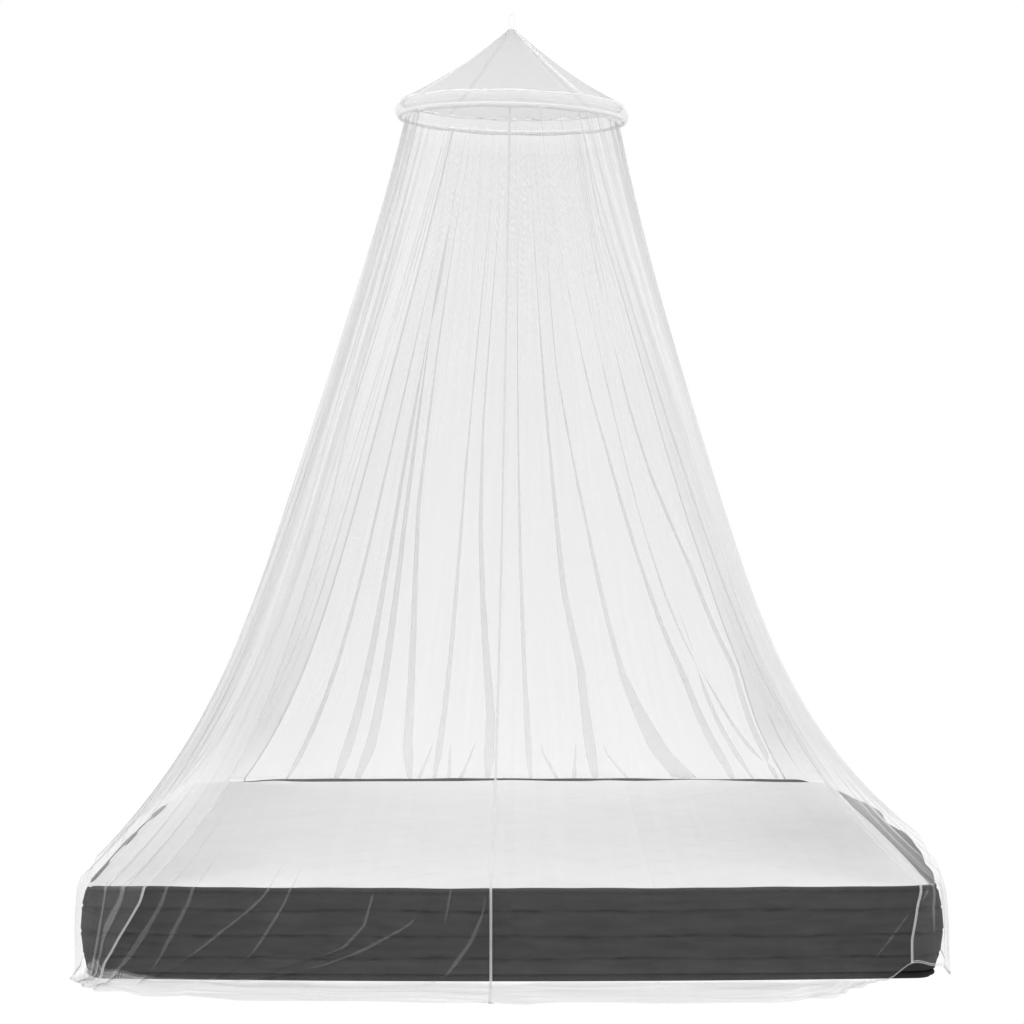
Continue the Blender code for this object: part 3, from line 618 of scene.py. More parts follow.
def knit_holes(across, down):
    """Six-sided holes: 1 on a thread and 0 in a hole."""
    turn = TAU * 2 / math.sqrt(3) / HOLE_PITCH
    first = across * turn
    half = first * 0.5
    other = down * (turn * math.sqrt(3) / 2)
    waves = first.math("COSINE") + (half + other).math("COSINE") + (half - other).math("COSINE")
    return waves.spread(THREAD_LOW, THREAD_HIGH)


def thread_share():
    """The mean of the thread pattern over the cloth."""
    x, y = np.meshgrid(np.linspace(0, 2 * TAU, 400, endpoint=False), np.linspace(0, TAU, 400, endpoint=False))
    waves = np.cos(x) + np.cos(x / 2 + y) + np.cos(x / 2 - y)
    share = float(np.clip((waves - THREAD_LOW) / (THREAD_HIGH - THREAD_LOW), 0, 1).mean())
    return THREAD_FLOOR + (1 - THREAD_FLOOR) * share


def net_surface(name, colour, streak):
    """Sheer knitted net, as solid as the mesh's cover says."""
    made, tree, shader = start_material(name, 0.9, 0.05)
    across, down = cloth_axes(tree)
    thread = knit_holes(across, down).spread(0.0, 1.0, THREAD_FLOOR, 1.0)
    uneven = noise(across, down, 46.0, 0.9).spread(0.25, 0.75, 1.0 - streak, 1.0 + streak)
    layers = noise(across, down, 2.2, 75.0).spread(0.3, 0.7, -0.6, 0.3) * fact(tree, "lying") + 1.0
    solid = (fact(tree, "cover") * uneven * thread).math("DIVIDE", thread_share()) * layers
    solid.math("MINIMUM", 1.0).into(shader["Alpha"])
    cloth = mix_colour(noise(across, down, 9.0, 5.0, 2.0), tuple(c * 0.9 for c in colour), colour)
    # Painted shade: the colour darkens towards SHADE_PAINT_COLOUR as far as the mesh's painted_shade says
    mix_colour(fact(tree, "painted_shade"), cloth, SHADE_PAINT_COLOUR).into(shader["Base Color"])
    bump(shader, thread, 0.0002)
    return made


def band_surface(name, colour, solid, width, glow=False):
    """Doubled net or woven tape with a row of stitches near each edge. Light comes through one that glows."""
    made, tree, shader = start_material(name, 0.85, 0.1)
    across, down = cloth_axes(tree)
    weave = down.wave(0.0011) * across.wave(0.0009)
    middle = (across - width / 2).math("ABSOLUTE")
    row = (middle - width * 0.34).math("ABSOLUTE").math("LESS_THAN", 0.0005)
    stitch = row * down.wave(0.0030).math("GREATER_THAN", -0.35)
    shade = noise(across, down, 300.0, 60.0, 2.0).spread(0.2, 0.8)
    cloth = mix_colour(shade, tuple(c * 0.93 for c in colour), colour)
    mix_colour(stitch, cloth, (0.93, 0.93, 0.93)).into(shader["Base Color"])
    grain = weave.spread(-1.0, 1.0, solid * 0.8, solid * 1.2)
    grain.math("MAXIMUM", stitch).into(shader["Alpha"])
    bump(shader, weave + stitch * 2.0, 0.00015)
    if glow:
        shader["Subsurface Weight"].default_value = 1.0
        shader["Subsurface Scale"].default_value = 0.003
        shader["Subsurface Radius"].default_value = (1.0, 1.0, 1.0)
    return made


def border_surface():
    """Charcoal woven cloth, stitched along its channels, with painted shade in dashes along the channels and in the
    wrinkles.
    """
    made, tree, shader = start_material("charcoal_border", 0.92, 0.12)
    across, down = cloth_axes(tree)
    weave = (across + down).wave(0.0016) * (across - down).wave(0.0011)
    heather = noise(across, down, 420.0, 700.0)
    tone = heather * 0.6 + noise(across, down, 9.0, 46.0) * 0.6
    cloth = mix_colour(tone.spread(0.35, 0.85), (0.021, 0.021, 0.0215), (0.064, 0.064, 0.065))
    # Painted shade: the colour darkens in broken dashes along the stitched channels and in the wrinkles
    groove = fact(tree, "groove")
    broken_shade = noise(across, down, 22.0, 4.0).spread(0.35, 0.6, 0.25, 0.95)
    cloth = mix_colour(groove * broken_shade, cloth, (0.008, 0.008, 0.008))
    stitch = groove.math("GREATER_THAN", 0.93) * across.wave(0.0045).math("GREATER_THAN", -0.4)
    mix_colour(stitch, cloth, (0.055, 0.055, 0.056)).into(shader["Base Color"])
    bump(shader, weave + heather * 1.5, 0.0003)
    return made


def piping_surface():
    """Charcoal cord covered in ribbed cloth."""
    made, tree, shader = start_material("charcoal_piping", 0.9, 0.15)
    across, down = cloth_axes(tree)
    rib = (across + down * 0.6).wave(0.0014)
    tone = rib * 0.2 + noise(across, down, 300.0, 300.0)
    mix_colour(tone.spread(0.2, 0.9), (0.009, 0.009, 0.009), (0.026, 0.026, 0.027)).into(shader["Base Color"])
    bump(shader, rib, 0.0002)
    return made


def top_surface():
    """Pale knit with a low raised pattern of quilting, and painted shade along its sunken lines."""
    made, tree, shader = start_material("pale_knit", 0.95, 0.1)
    across, down = cloth_axes(tree)
    fuzz = noise(across, down, 260.0, 260.0)
    tone = noise(across, down, 5.0, 5.0) * 0.7 + fuzz * 0.4
    cloth = mix_colour(tone.spread(0.3, 0.8), (0.745, 0.745, 0.745), (0.79, 0.79, 0.788))
    # Painted shade: darker along the quilting's sunken lines
    mix_colour(fact(tree, "groove") * 0.25, cloth, (0.60, 0.60, 0.60)).into(shader["Base Color"])
    bump(shader, across.wave(0.0018) * down.wave(0.0024) + fuzz, 0.0004)
    return made


def tube_surface():
    """Moulded white plastic tube, a little scuffed."""
    made, tree, shader = start_material("white_tube", 0.4, 0.5)
    scuff = noise(*cloth_axes(tree), 60.0, 400.0, 4.0)
    mix_colour(scuff, (0.76, 0.76, 0.755), (0.83, 0.83, 0.82)).into(shader["Base Color"])
    scuff.spread(0.3, 0.7, 0.32, 0.55).into(shader["Roughness"])
    return made


WHITE, OFF_WHITE = (0.94, 0.94, 0.94), (0.80, 0.80, 0.80)
TAPE_WIDTH = 0.014
NET = net_surface("sheer_net", (0.69, 0.69, 0.69), 0.10)
# Painted light: the side widths are the same net as the end widths, given a lighter colour
SIDE_NET_LIT = net_surface("sheer_net_sides_painted_light", OFF_WHITE, 0.08)
# Painted shade: the crown is the same net as the skirt, given a darker colour
CROWN_NET_SHADED = net_surface("crown_net_shaded_grey", (0.45, 0.45, 0.45), 0.06)
SEAM_BAND = band_surface("net_seam", OFF_WHITE, 0.32, SEAM_WIDTH)
HEM_BAND = band_surface("net_hem", OFF_WHITE, 0.30, HEM_WIDTH)
TAPE = band_surface("white_tape", WHITE, 0.12, TAPE_WIDTH)
FAR_TAPE = band_surface("white_tape_far", WHITE, 0.05, TAPE_WIDTH)  # the rear tapes, which hardly show
BINDING = band_surface("sleeve_binding", WHITE, 0.55, TAPE_WIDTH, True)
CASING = band_surface("casing_cloth", OFF_WHITE, 0.26, 0.060)
BORDER = border_surface()
PIPING = piping_surface()
TOP = top_surface()
TUBE = tube_surface()


# Mattress

QUILT_LINES = (0.149, 0.0965, 0.0500)  # heights of the border's stitched channels
QUILT_PITCH = 0.17  # of the top panel's diamonds
# Where the panel's head end rises: x, reach and how far
HEAD_RISES = ((0.53, 0.13, 0.0055), (0.0, 0.09, 0.0030), (-0.66, 0.05, 0.0035), (0.28, 0.05, 0.0025))
# The border's large creases on the long sides, which also get painted shade: place, height, half width, slant, depth
# and reach
BORDER_CREASES = (
    (1.46, 0.115, 0.016, 1.7, 0.01, 0.06), (1.63, 0.12, 0.02, 2, 0.014, 0.06),
    (1.74, 0.11, 0.012, 1.8, 0.008, 0.045), (2.02, 0.12, 0.022, 2.2, 0.01, 0.055),
    (2.29, 0.12, 0.03, 2.6, 0.016, 0.06), (2.6, 0.125, 0.026, 2.4, 0.012, 0.055),
    (5.85, 0.12, 0.024, -2.2, 0.008, 0.055), (6.25, 0.11, 0.02, -2, 0.007, 0.05),
    (6.62, 0.125, 0.022, -2.4, 0.009, 0.055), (6.98, 0.115, 0.018, -1.8, 0.007, 0.05),
)


def draw_wrinkles():
    """Rows of place, height, half width, slant, depth and reach for the border's wrinkles, deeper on the sides."""
    draw = np.random.default_rng(WRINKLE_SEED)
    count = WRINKLE_COUNT
    place = draw.uniform(0, EDGE_TOTAL, count)
    side = (np.abs((place % HEAD_MIDDLE) - HEAD_MIDDLE / 2) < 1.0).astype(float)
    depth = draw.uniform(0.0006, 0.0015, count) + side * draw.uniform(0.0, 0.0085, count)
    level, half, slant = (draw.uniform(*r, count) for r in ((0.03, 0.17), (0.006, 0.016), (-1.6, 1.6)))
    small = np.stack([place, level, half, slant, depth, np.full(count, 0.028)], -1)
    return np.concatenate([small, BORDER_CREASES])


def border_profile(place, height):
    """How far the border stands out of the plan outline, and how near each point is to a stitched line or a wrinkle,
    for the painted shade in their hollows.
    """
    swell = np.interp(
        height, (0, SEAT_HEIGHT, SEAT_HEIGHT + 0.003, 0.05, 0.10, 0.15, 0.180, 0.186),
        (-SEAT_DEPTH, -SEAT_DEPTH, -0.001, 0.007, 0.011, 0.007, 0.001, -0.004),
    )
    near = np.zeros_like(height)
    for number, line in enumerate(QUILT_LINES):
        wander = 0.0014 * np.sin(TAU * place / 0.41 + 1.9 * number) + 0.0008 * np.sin(TAU * place / 0.093 + number)
        pull = 0.72 + 0.28 * np.sin(TAU * place / 0.17 + 2.3 * number + 1.4 * np.sin(TAU * place / 0.53))
        near = np.maximum(near, pull * np.exp(-(((height - line - wander) / 0.0030) ** 2)))
    for middle, level, half, slant, depth, reach in draw_wrinkles():
        offset = wrapped(place - middle - slant * (height - level))
        dent = np.exp(-((offset / half) ** 2) - ((height - level) / reach) ** 2)
        swell -= depth * dent
        # The wrinkles count as near too, so that the colour gets painted shade in them
        near = np.maximum(near, 100 * depth * dent)
    return swell, near


def build_border():
    """The mattress's charcoal side, closed above and below."""
    places = np.arange(0, EDGE_TOTAL, OUTLINE_STEP)
    levels = ((0, SEAT_HEIGHT, 3), (SEAT_HEIGHT + 0.0015, 0.176, 92), (0.178, BODY_HEIGHT, 6))
    heights = np.concatenate([np.linspace(*level) for level in levels])
    place, height = np.meshgrid(places, heights, indexing="ij")
    swell, near = border_profile(place, height)
    weight = np.interp(height, (0.0175, 0.05, 0.10, 0.15, 0.186), (0, 0.5, 0.9, 1, 1))
    bed = np.interp(height, (SEAT_HEIGHT, 0.03, 0.17, 0.186), (0, 1, 1, 0))
    pucker = np.sin(TAU * place / 0.047 + 2.0 * np.sin(TAU * place / 0.31)) * np.sin(TAU * place / 0.113 + 30 * height)
    spread = np.exp(-((height[..., None] - np.array(QUILT_LINES)) / 0.013) ** 2).sum(-1)
    slump = 0.0012 * np.sin(TAU * place / 0.57 + 9 * height) + 0.0008 * np.sin(TAU * place / 0.21 + 40 * height)
    out = swell - 0.0050 * near * bed + (0.0011 * pucker * spread + slump) * bed - 0.0012 * bed
    flat, _ = edge_points(place, out + weight * eased(SHOULDER, place))
    points = at_height(flat, height)
    under = points[:, :1] * np.array([0.97, 0.97, 1.0])
    points = np.concatenate([under, points], 1)
    near = np.concatenate([near[:, :1] * 0, near * bed], 1)
    outline = lengths(np.concatenate([points[:, 40], points[:1, 40]]))
    down = lengths(points[0])
    mesh = grid_mesh("mattress_border", points, outline, down, closed_across=True, facts={"groove": near})
    base = [i * points.shape[1] for i in range(len(places))]
    close_ends(mesh, base[::-1], [i + points.shape[1] - 1 for i in base])
    add_piece("mattress_border", mesh, BORDER, ["mattress_body"])


def close_ends(mesh, *rings):
    """Fills flat ends of a tube with one face each."""
    work = bmesh.new()
    work.from_mesh(mesh)
    work.verts.ensure_lookup_table()
    for ring in rings:
        work.faces.new([work.verts[i] for i in ring])
    work.to_mesh(mesh)
    work.free()


def build_piping(name, replaced, out, height, radius, top):
    """A cord round the mattress. The top one wanders, and is pressed under the panel's edge in places."""
    places = np.arange(0, EDGE_TOTAL, OUTLINE_STEP)
    centre, outward = edge_points(places, out)
    radius = np.full(len(places), radius)
    wander = 0.0
    if top:
        press = eased(PIPING_PRESS, places)
        wander = 0.0006 * np.sin(TAU * places / 0.43) + 0.0004 * np.sin(TAU * places / 0.17)
        wander += 0.0024 * np.clip((centre[:, 1] - 0.9) / 0.08, 0, 1) * (1 - press) - 0.0062 * press
        radius -= 0.0018 * press
        centre -= outward * (0.0030 * press)[:, None]
    centre = at_height(centre, height + wander)
    turn = np.linspace(0, TAU, 12, endpoint=False)
    spokes = at_height(outward, 0.0)[:, None] * np.cos(turn)[:, None] + np.array([0, 0, 1.0]) * np.sin(turn)[:, None]
    points = centre[:, None] + spokes * radius[:, None, None]
    outline = lengths(np.concatenate([centre, centre[:1]]))
    down = np.linspace(0, TAU * radius[0], len(turn) + 1)
    mesh = grid_mesh(name, points, outline, down, closed_across=True, closed_down=True)
    add_piece(name, mesh, PIPING, [replaced])


def build_top():
    """The panel over the mattress: a rolled rim, and rings that shrink to its middle."""
    places = np.arange(0, EDGE_TOTAL, 0.0143)
    edge_up = BODY_HEIGHT + 0.0003
    edge_out = 0.0074 * eased(PIPING_PRESS, places) - 0.0086
    rim = (
        (0, 0), (0, 0.002), (-0.001, 0.0035), (-0.004, 0.0050), (-0.010, 0.0064), (-0.020, 0.0080), (-0.034, 0.0096),
    )
    rings = [at_height(edge_points(places, edge_out + inset)[0], edge_up + rise) for inset, rise in rim]
    inner = rings[-1]
    for share in np.linspace(0.985, 0.0, 60):
        ring = inner * np.array([share, share, 1.0])
        ring[:, 2] += 0.0094 * math.sin(math.pi / 2 * min((1 - share) / 0.3, 1.0))
        rings.append(ring)
    points = np.stack(rings, 1)
    x, y = points[..., 0], points[..., 1]
    diamond = np.abs(np.sin((x + y) * math.pi / QUILT_PITCH)) * np.abs(np.sin((x - y) * math.pi / QUILT_PITCH))
    row = np.arange(points.shape[1])
    flat_part = np.clip((row - 5) / 6, 0, 1)
    rim_part = np.clip(row / 5, 0, 1) * (y > 0.90)
    for middle, reach, rise in HEAD_RISES:
        points[..., 2] += rim_part * rise * np.exp(-(((x - middle) / reach) ** 2)) * np.clip((y - 0.90) / 0.06, 0, 1)
    points[..., 2] += (0.0022 * np.sqrt(diamond) - 0.0016 + 0.0008 * np.sin(5 * x + 1) * np.sin(4 * y)) * flat_part
    # How near each point is to the quilting's sunken lines, where the colour gets painted shade
    near = (1 - np.clip(diamond * 14, 0, 1)) * flat_part
    unused = np.zeros(len(places) + 1), np.zeros(len(row))
    mesh = grid_mesh("mattress_top", points, *unused, closed_across=True, facts={"groove": near})
    corners = np.empty(len(mesh.loops), dtype=np.int32)
    mesh.loops.foreach_get("vertex_index", corners)
    flat = points.reshape(-1, 3)[corners][:, :2]
    mesh.uv_layers["cloth"].data.foreach_set("uv", flat.astype(np.float32).reshape(-1))
    add_piece("mattress_top", mesh, TOP, ["mattress_top_panel"])


# Hoop, casing, crown and loop


def ring_of(section, azimuths):
    """Points of a ring round the canopy from a section of (radius, height) arrays by azimuth."""
    return np.stack([canopy_points(azimuths, radius, height) for radius, height in section], 1)


def build_hoop():
    """The tube, low in its casing."""
    azimuths = np.linspace(0, 360, 180, endpoint=False)
    height = HOOP_MIDDLE - CASING_HALF + 0.0012 + 0.0003 + HOOP_TUBE  # on the casing's cloth, with a gap
    section = []
    for turn in np.linspace(0, TAU, 16, endpoint=False):
        radius = np.full_like(azimuths, HOOP_RADIUS + HOOP_TUBE * math.cos(turn))
        section.append((radius, np.full_like(azimuths, height + HOOP_TUBE * math.sin(turn))))
    across = np.linspace(0, TAU * HOOP_RADIUS, 181)
    points = ring_of(section, azimuths)
    down = np.linspace(0, TAU * HOOP_TUBE, 17)
    mesh = grid_mesh("hoop_tube", points, across, down, closed_across=True, closed_down=True)
    return add_piece("hoop_tube", mesh, TUBE, ["hoop"])


def build_casing():
    """A gathered sleeve round the hoop, with a stitched edge above and below."""
    count = 900
    azimuths = np.linspace(0, 360, count, endpoint=False)
    angle = np.radians(azimuths)
    gather = 0.55 * np.sin(73 * angle + 1.5 * np.sin(5 * angle))
    gather += 0.45 * np.sin(121 * angle + 2.0 * np.sin(7 * angle + 1))
    large = 0.6 * np.sin(17 * angle + 0.7) + 0.4 * np.sin(26 * angle + 2.1)
    # Out from the hoop, up from its middle, and how loose the cloth is there
    rows = (
        (-0.0250, -0.0185, 0.2), (-0.0120, -0.0190, 0.5), (-0.0030, -0.0188, 0.8), (0.0030, -0.0165, 1.0),
        (0.0062, -0.0110, 1.0), (0.0072, -0.0050, 1.0), (0.0066, 0.0010, 1.0), (0.0050, 0.0070, 0.9),
        (0.0028, 0.0120, 0.8), (0.0002, 0.0160, 0.7), (-0.0040, 0.0184, 0.5), (-0.0120, 0.0190, 0.3),
    )
    section = []
    for out, up, loose in rows:
        radius = HOOP_RADIUS + 0.0010 + out + loose * (0.0005 * gather + 0.0014 * large + 0.0022)
        height = HOOP_MIDDLE + up + loose * (0.0003 * np.sin(73 * angle + 0.9) + 0.0014 * np.sin(11 * angle + 60 * up))
        section.append((radius, height))
    points = ring_of(section, azimuths)
    down = lengths(points[0])
    across = np.linspace(0, TAU * HOOP_RADIUS * 1.25, count + 1)
    mesh = grid_mesh("hoop_sleeve", points.transpose(1, 0, 2), down, across, closed_down=True)
    piece = add_piece("hoop_sleeve", mesh, CASING, ["hoop_casing"])
    outward = at_height(compass(azimuths), 0.0)
    for name, row, lift, tall, cloth in (
        ("sleeve_binding_top", 10, 0.0012, 0.0034, BINDING), ("sleeve_binding_low", 2, -0.0004, 0.0012, TAPE),
    ):
        ring = []
        for turn in np.linspace(0, TAU, 6, endpoint=False):
            spoke = outward * (0.0014 * math.cos(turn)) + np.array([0, 0, tall * math.sin(turn) + lift])
            ring.append(points[:, row] + spoke)
        around = np.linspace(0, TAPE_WIDTH, 7)
        binding = grid_mesh(name, np.stack(ring), around, across, closed_across=True, closed_down=True)
        add_piece(name, binding, cloth)


def crown_profile(share, between):
    """The cone's radius and height at a share of the way down, and of the way between two tapes."""
    radius = CROWN_TIP + (HOOP_RADIUS - CROWN_TIP) * share
    sag = CROWN_SAG + CROWN_GORE_SAG * np.sin(math.pi * between)
    return radius, CROWN_FOOT + CROWN_HEIGHT * (1 - share) - 4 * sag * share * (1 - share)


def between_tapes(azimuth):
    """The share of the way from one tape to the next."""
    tapes = np.array([*TAPE_AZIMUTHS, TAPE_AZIMUTHS[0] + 360])
    azimuth = (azimuth - tapes[0]) % 360 + tapes[0]
    i = np.clip(np.searchsorted(tapes, azimuth, side="right") - 1, 0, 3)
    return (azimuth - tapes[i]) / (tapes[i + 1] - tapes[i])


def build_crown():
    """The cone of net, a little wrinkled towards the hoop."""
    azimuths = np.linspace(0, 360, 420, endpoint=False)
    shares = np.linspace(0, 1, 44)
    azimuth, share = np.meshgrid(azimuths, shares, indexing="ij")
    between = between_tapes(azimuth)
    radius, height = crown_profile(share, between)
    angle = np.radians(azimuth)
    tight = np.sin(math.pi * between) ** 0.5
    wrinkle = np.sin(41 * angle + 1.4 * np.sin(6 * angle)) * share**3 * 0.0022
    wrinkle += np.sin(97 * angle + 2 * np.sin(9 * angle)) * share**6 * 0.0012
    wrinkle += 0.0015 * np.sin(13 * angle + 5 * share) * share
    points = canopy_points(azimuth, radius, height + wrinkle * tight)
    cover = np.interp(share, (0, 0.15, 0.7, 0.92, 1.0), (0.42, 0.32, 0.30, 0.30, 0.36))
    facts = {"cover": cover, "lying": 0 * cover, "painted_shade": 0 * cover}
    around = np.linspace(0, TAU * HOOP_RADIUS, 421)
    mesh = grid_mesh("net_crown", points, around, lengths(points[0]), closed_across=True, facts=facts)
    return add_piece("net_crown", mesh, CROWN_NET_SHADED, ["crown_net"])


def build_tapes():
    """Four flat tapes down the cone, narrower at its tip."""
    made = []
    shares = np.linspace(0.0, 0.985, 40)
    for number, azimuth in enumerate(TAPE_AZIMUTHS, start=1):
        radius, height = crown_profile(shares, np.zeros_like(shares))
        line = canopy_points(np.full_like(shares, azimuth), radius, height)
        line[:, 2] += 0.0013 + 0.0006 * np.sin(shares * 19 + number)
        side = np.zeros_like(line)
        side[:, :2] = compass(azimuth + 90)
        along = np.gradient(line, axis=0)
        outward = np.cross(side, along)
        outward *= np.sign(outward[:, 2:]) / np.linalg.norm(outward, axis=1, keepdims=True)
        side = side * np.interp(shares, (0, 0.06, 1), (0.5, 1, 1))[:, None]
        mesh = strip_mesh(f"tape_{number}", line, side, outward, TAPE_WIDTH, 0.0009)
        cloth = FAR_TAPE if 90 < azimuth < 270 else TAPE
        made.append(add_piece(f"tape_{number}", mesh, cloth, [f"crown_tape_{number}"], crisp=True))
    return made


def build_loop():
    """The folded tape that the net hangs by."""
    width, height, sheet, depth = 0.015, 0.036, 0.0022, 0.008
    foot = canopy_points(0.0, np.array(0.0), CROWN_FOOT + CROWN_HEIGHT + 0.0013)
    straight = np.linspace(0, height - width / 2, 12)
    arc = np.linspace(0, math.pi, 18)[1:-1]
    r = width / 2 - sheet / 2
    right = [(r - 0.0012 * math.exp(-((z / 0.006) ** 2)), z, 0.0) for z in straight]
    over = [(r * math.cos(a), height - width / 2 + r * math.sin(a), a) for a in arc]
    left = [(-x, z, math.pi) for x, z, _ in right[::-1]]
    base = [(x, 0.0012, 1.5 * math.pi) for x in np.linspace(-r + 0.003, r - 0.003, 6)]
    line = right + over + left + base
    columns = []
    for x, z, turn in line:
        middle = np.array([x, 0, z])
        normal = np.array([math.cos(turn), 0, math.sin(turn)])
        twist = 0.10 * (z / height)
        across = np.array([math.sin(twist), math.cos(twist), 0])
        corners = ((1, 0.94), (1, -0.94), (-1, -1), (-1, 1))
        columns.append([foot + middle + normal * (sheet / 2 * a) + across * (depth / 2 * b) for a, b in corners])
    points = np.array(columns)
    along = lengths(np.concatenate([points[:, 0], points[:1, 0]]))
    across_tape = np.array([0, depth, depth, 0, 0])
    mesh = grid_mesh("loop_tape", points, along, across_tape, closed_across=True, closed_down=True)
    return add_piece("loop_tape", mesh, TAPE, ["hanging_loop"], crisp=True)


# Skirt


def depth_rows(name=""):
    """The depths of a width's rows, closer together where that width has small slanting folds."""
    bell = np.linspace(0, 1, BELL_ROWS + 1) ** 0.97
    if name == "back":
        bell = np.concatenate([bell[bell < 0.895], np.linspace(0.90, 1, 21)])
    fall_rows = 2 * FALL_ROWS if name == "front_left" else FALL_ROWS
    return np.concatenate([bell, 1 + np.linspace(0, 1, fall_rows + 1)[1:]])


def seam_band(name, place, lift):
    """A band of even width down a seam."""
    depths = depth_rows()
    cloth = np.full_like(depths, place)
    line = net_points(cloth, depths, lift)
    side = unit(drape(cloth + 0.02, depths, 0.0) - drape(cloth - 0.02, depths, 0.0))
    outward = unit(np.cross(side, np.gradient(line, axis=0)))
    mesh = strip_mesh(name, line, side, outward, SEAM_WIDTH, 0.0006)
    return add_piece(name, mesh, SEAM_BAND, crisp=True)


def cover_of(name, cloth, depth):
    """How solid a width's net is at its cloth places and depths, before it lies on the floor."""

    def scaled(share, weight):
        return 1 + (share - 1) * weight

    cover = read_off(SIDE_COVER if name in SIDE_SHARE else END_COVER, depth)
    cover *= scaled(SIDE_SHARE.get(name, 1.0), np.interp(depth, (0.4, 0.65), (1, 0)))
    if name == "back":
        cover *= scaled(read_off(BACK_SHARE, cloth), np.interp(depth, (0.15, 0.45), (0, 1)))
    if name == "right":
        over_border = np.interp(cloth, (1.2, 1.6, 2.7, 3.0), (0, 1, 1, 0)) * np.interp(depth, (0.93, 0.99), (0, 1))
        cover *= 1 - 0.45 * over_border
        cover *= scaled(read_off(RIGHT_SHARE, cloth), np.interp(depth, (0.4, 0.65), (0, 1)))
    return cover


def build_hem(name, cloth, down, rows):
    """The doubled band along a width's lower edge."""
    inner = np.interp(down[-1] - HEM_WIDTH, down, rows)
    places, depths = np.meshgrid(cloth, np.linspace(inner, 2.0, 4), indexing="ij")
    band = net_points(places, depths, 0.0007)
    band[..., 2] = np.maximum(band[..., 2], HEM_LOWEST)
    mesh = grid_mesh(name, band.transpose(1, 0, 2), np.linspace(0, HEM_WIDTH, 4), cloth - cloth[0])
    return add_piece(name, mesh, HEM_BAND)


def build_width(number):
    """One width of the skirt with its hem and the seam it starts at."""
    name, _, start = SEAMS[number]
    stop = SEAMS[number + 1][2]
    under = name == "front_right"
    if under:
        start -= OVERLAP
    count = round((stop - start) / COLUMN_STEP)
    rows = depth_rows(name)
    cloth, depth = np.meshgrid(np.linspace(start, stop, count + 1), rows, indexing="ij")
    lift = np.where(cloth < start + 2 * OVERLAP, -OVERLAP_DROP, 0.0) if under else 0.0
    points = net_points(cloth, depth, lift)
    points[..., 2] = np.maximum(points[..., 2], NET_LOWEST)
    lying = np.clip((0.0065 - fall_points(cloth, depth - 1)[..., 1]) / 0.0035, 0, 1)
    cover = cover_of(name, cloth, depth)
    # Painted shade: the side widths' colour darkens lower down
    painted_shade = read_off(SIDE_SHADE_BY_DEPTH, depth) if name in SIDE_SHARE else 0 * depth
    # Where the net lies on the floor its colour is darkened too, as painted shade
    facts = {"cover": cover + (FLOOR_COVER - cover) * lying, "lying": lying, "painted_shade": np.maximum(painted_shade, lying)}
    down = lengths(points[count // 2])
    mesh = grid_mesh(f"net_{name}", points, cloth[:, 0] - start, down, facts=facts)
    surface = SIDE_NET_LIT if name in SIDE_SHARE else NET
    piece = add_piece(f"net_{name}", mesh, surface, [f"skirt_{name}"])
    parts = [
        build_hem(f"hem_{name}", cloth[:, 0], down, rows),
        seam_band(f"seam_{name}", start + (0.004 if under else 0.0), 0.001),
    ]


# Studio


def build_floor():
    """A plain white floor that gives its own even light, so that no horizon shows."""
    size, drop = 60.0, 0.001
    mesh = bpy.data.meshes.new("floor")
    corners = [(x * size, y * size, -drop) for x, y in ((-1, -1), (1, -1), (1, 1), (-1, 1))]
    mesh.from_pydata(corners, [], [(0, 1, 2, 3)])
    floor = add_object("floor", mesh)
    made, _, shader = start_material("white_floor", 1.0, 0.0)
    shader["Base Color"].default_value = (0.0, 0.0, 0.0, 1)
    shader["Emission Color"].default_value = (1, 1, 1, 1)
    shader["Emission Strength"].default_value = 1.0
    mesh.materials.append(made)
    floor.visible_diffuse = False
    floor.visible_glossy = False


FLOOR_GLOW, SKY_GLOW = 1.12, 1.02  # how bright the room's light is from below and from above
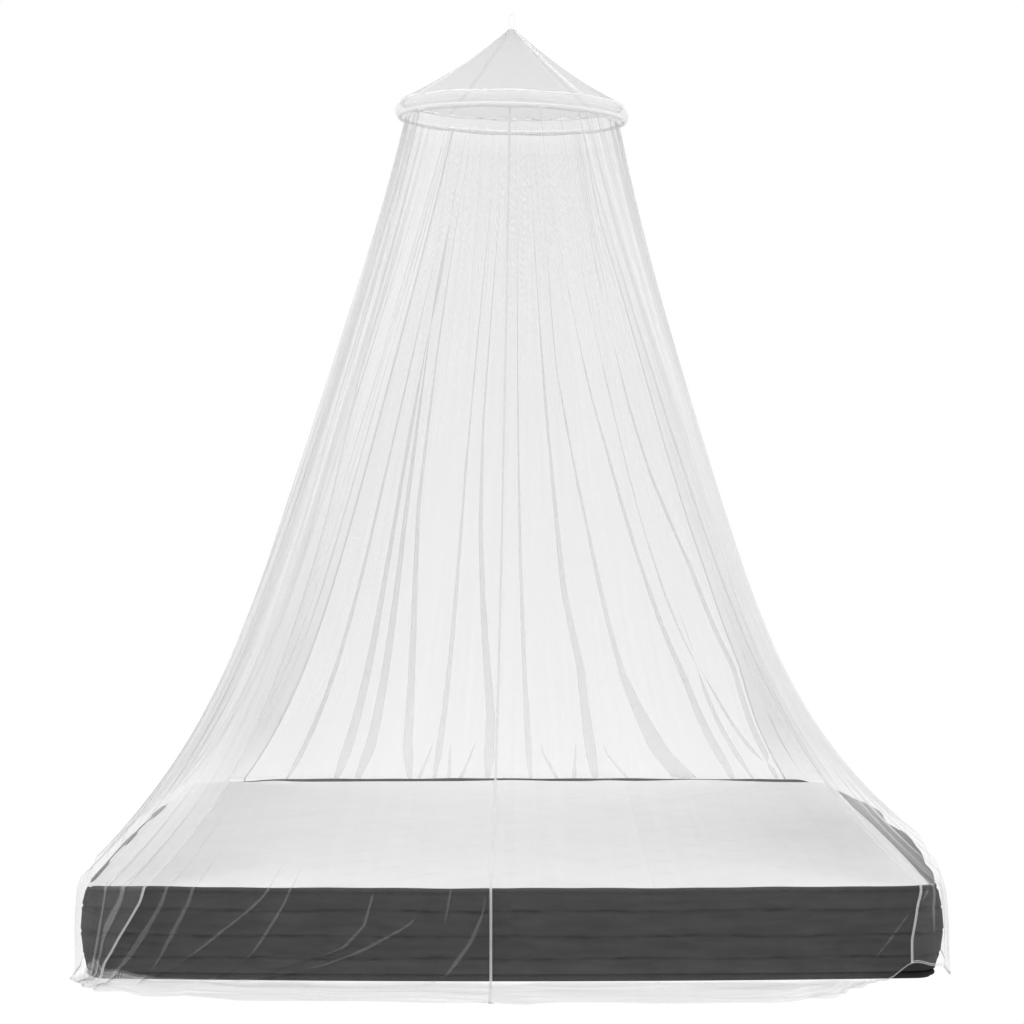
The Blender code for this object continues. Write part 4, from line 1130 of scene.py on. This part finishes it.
# Lamps: name, place, what they point at, size and power
LAMPS = (
    ("key", (-1.6, -4.4, 4.2), (0, 0, 0.6), 3.0, 22.0),
    ("top", (0.1, 0.9, 5.4), (0, 0.2, 0.2), 4.0, 180.0),
    ("left", (-5.0, -1.2, 1.2), (0, 0, 0.9), 3.0, 40.0),
    ("right", (5.0, -1.2, 1.2), (0, 0, 0.9), 3.0, 40.0),
)


def build_light():
    """Even light from all round that shows as white, and four soft lamps."""
    world = bpy.data.worlds.new("studio")
    bpy.context.scene.world = world
    world.use_nodes = True
    tree = world.node_tree
    tree.nodes.clear()
    up = node(tree, "SeparateXYZ", {0: node(tree, "TexCoord", output="Generated")}, 2)
    glow = up.spread(-0.15, 0.15, FLOOR_GLOW, SKY_GLOW)
    light = node(tree, "Background", {"Color": (1, 1, 1, 1), "Strength": glow})
    seen = node(tree, "Background", {"Color": (1, 1, 1, 1), "Strength": 1.0})
    ray = node(tree, "LightPath", output="Is Camera Ray")
    node(tree, "MixShader", {0: ray, 1: light, 2: seen}).into(tree.nodes.new("ShaderNodeOutputWorld").inputs[0])
    for name, place, aim, size, power in LAMPS:
        lamp = bpy.data.lights.new(name, "AREA")
        lamp.energy = power
        lamp.shape = "DISK"
        lamp.size = size
        holder = add_object(name, lamp)
        holder.location = place
        x, y, z = (a - b for a, b in zip(place, aim))
        holder.rotation_euler = (math.atan2(math.hypot(x, y), z), 0, math.atan2(x, -y))


def build_camera():
    """The photograph's view."""
    data = bpy.data.cameras.new("camera")
    data.lens = 97.2
    data.sensor_width = 36.0
    data.clip_end = 200.0
    camera = add_object("camera", data)
    camera.location = (-0.0126, -6.80, 1.063)
    camera.rotation_euler = (math.radians(89.21), 0, math.radians(-0.145))
    bpy.context.scene.camera = camera


build_border()
build_top()
build_piping("piping_top", "mattress_piping_top", -0.003, BODY_HEIGHT + 0.0057, 0.0054, True)
build_piping("piping_bottom", "mattress_piping_bottom", -0.0067, SEAT_HEIGHT - 0.0056, 0.005, False)
hoop_piece = build_hoop()
build_casing()
crown_piece = build_crown()
crown_parts = build_tapes() + [build_loop()]
for width_number in range(len(SEAMS) - 1):
    build_width(width_number)
build_floor()
build_light()
build_camera()
bpy.context.scene.view_settings.view_transform = "Standard"
bpy.context.scene.cycles.transparent_max_bounces = 64
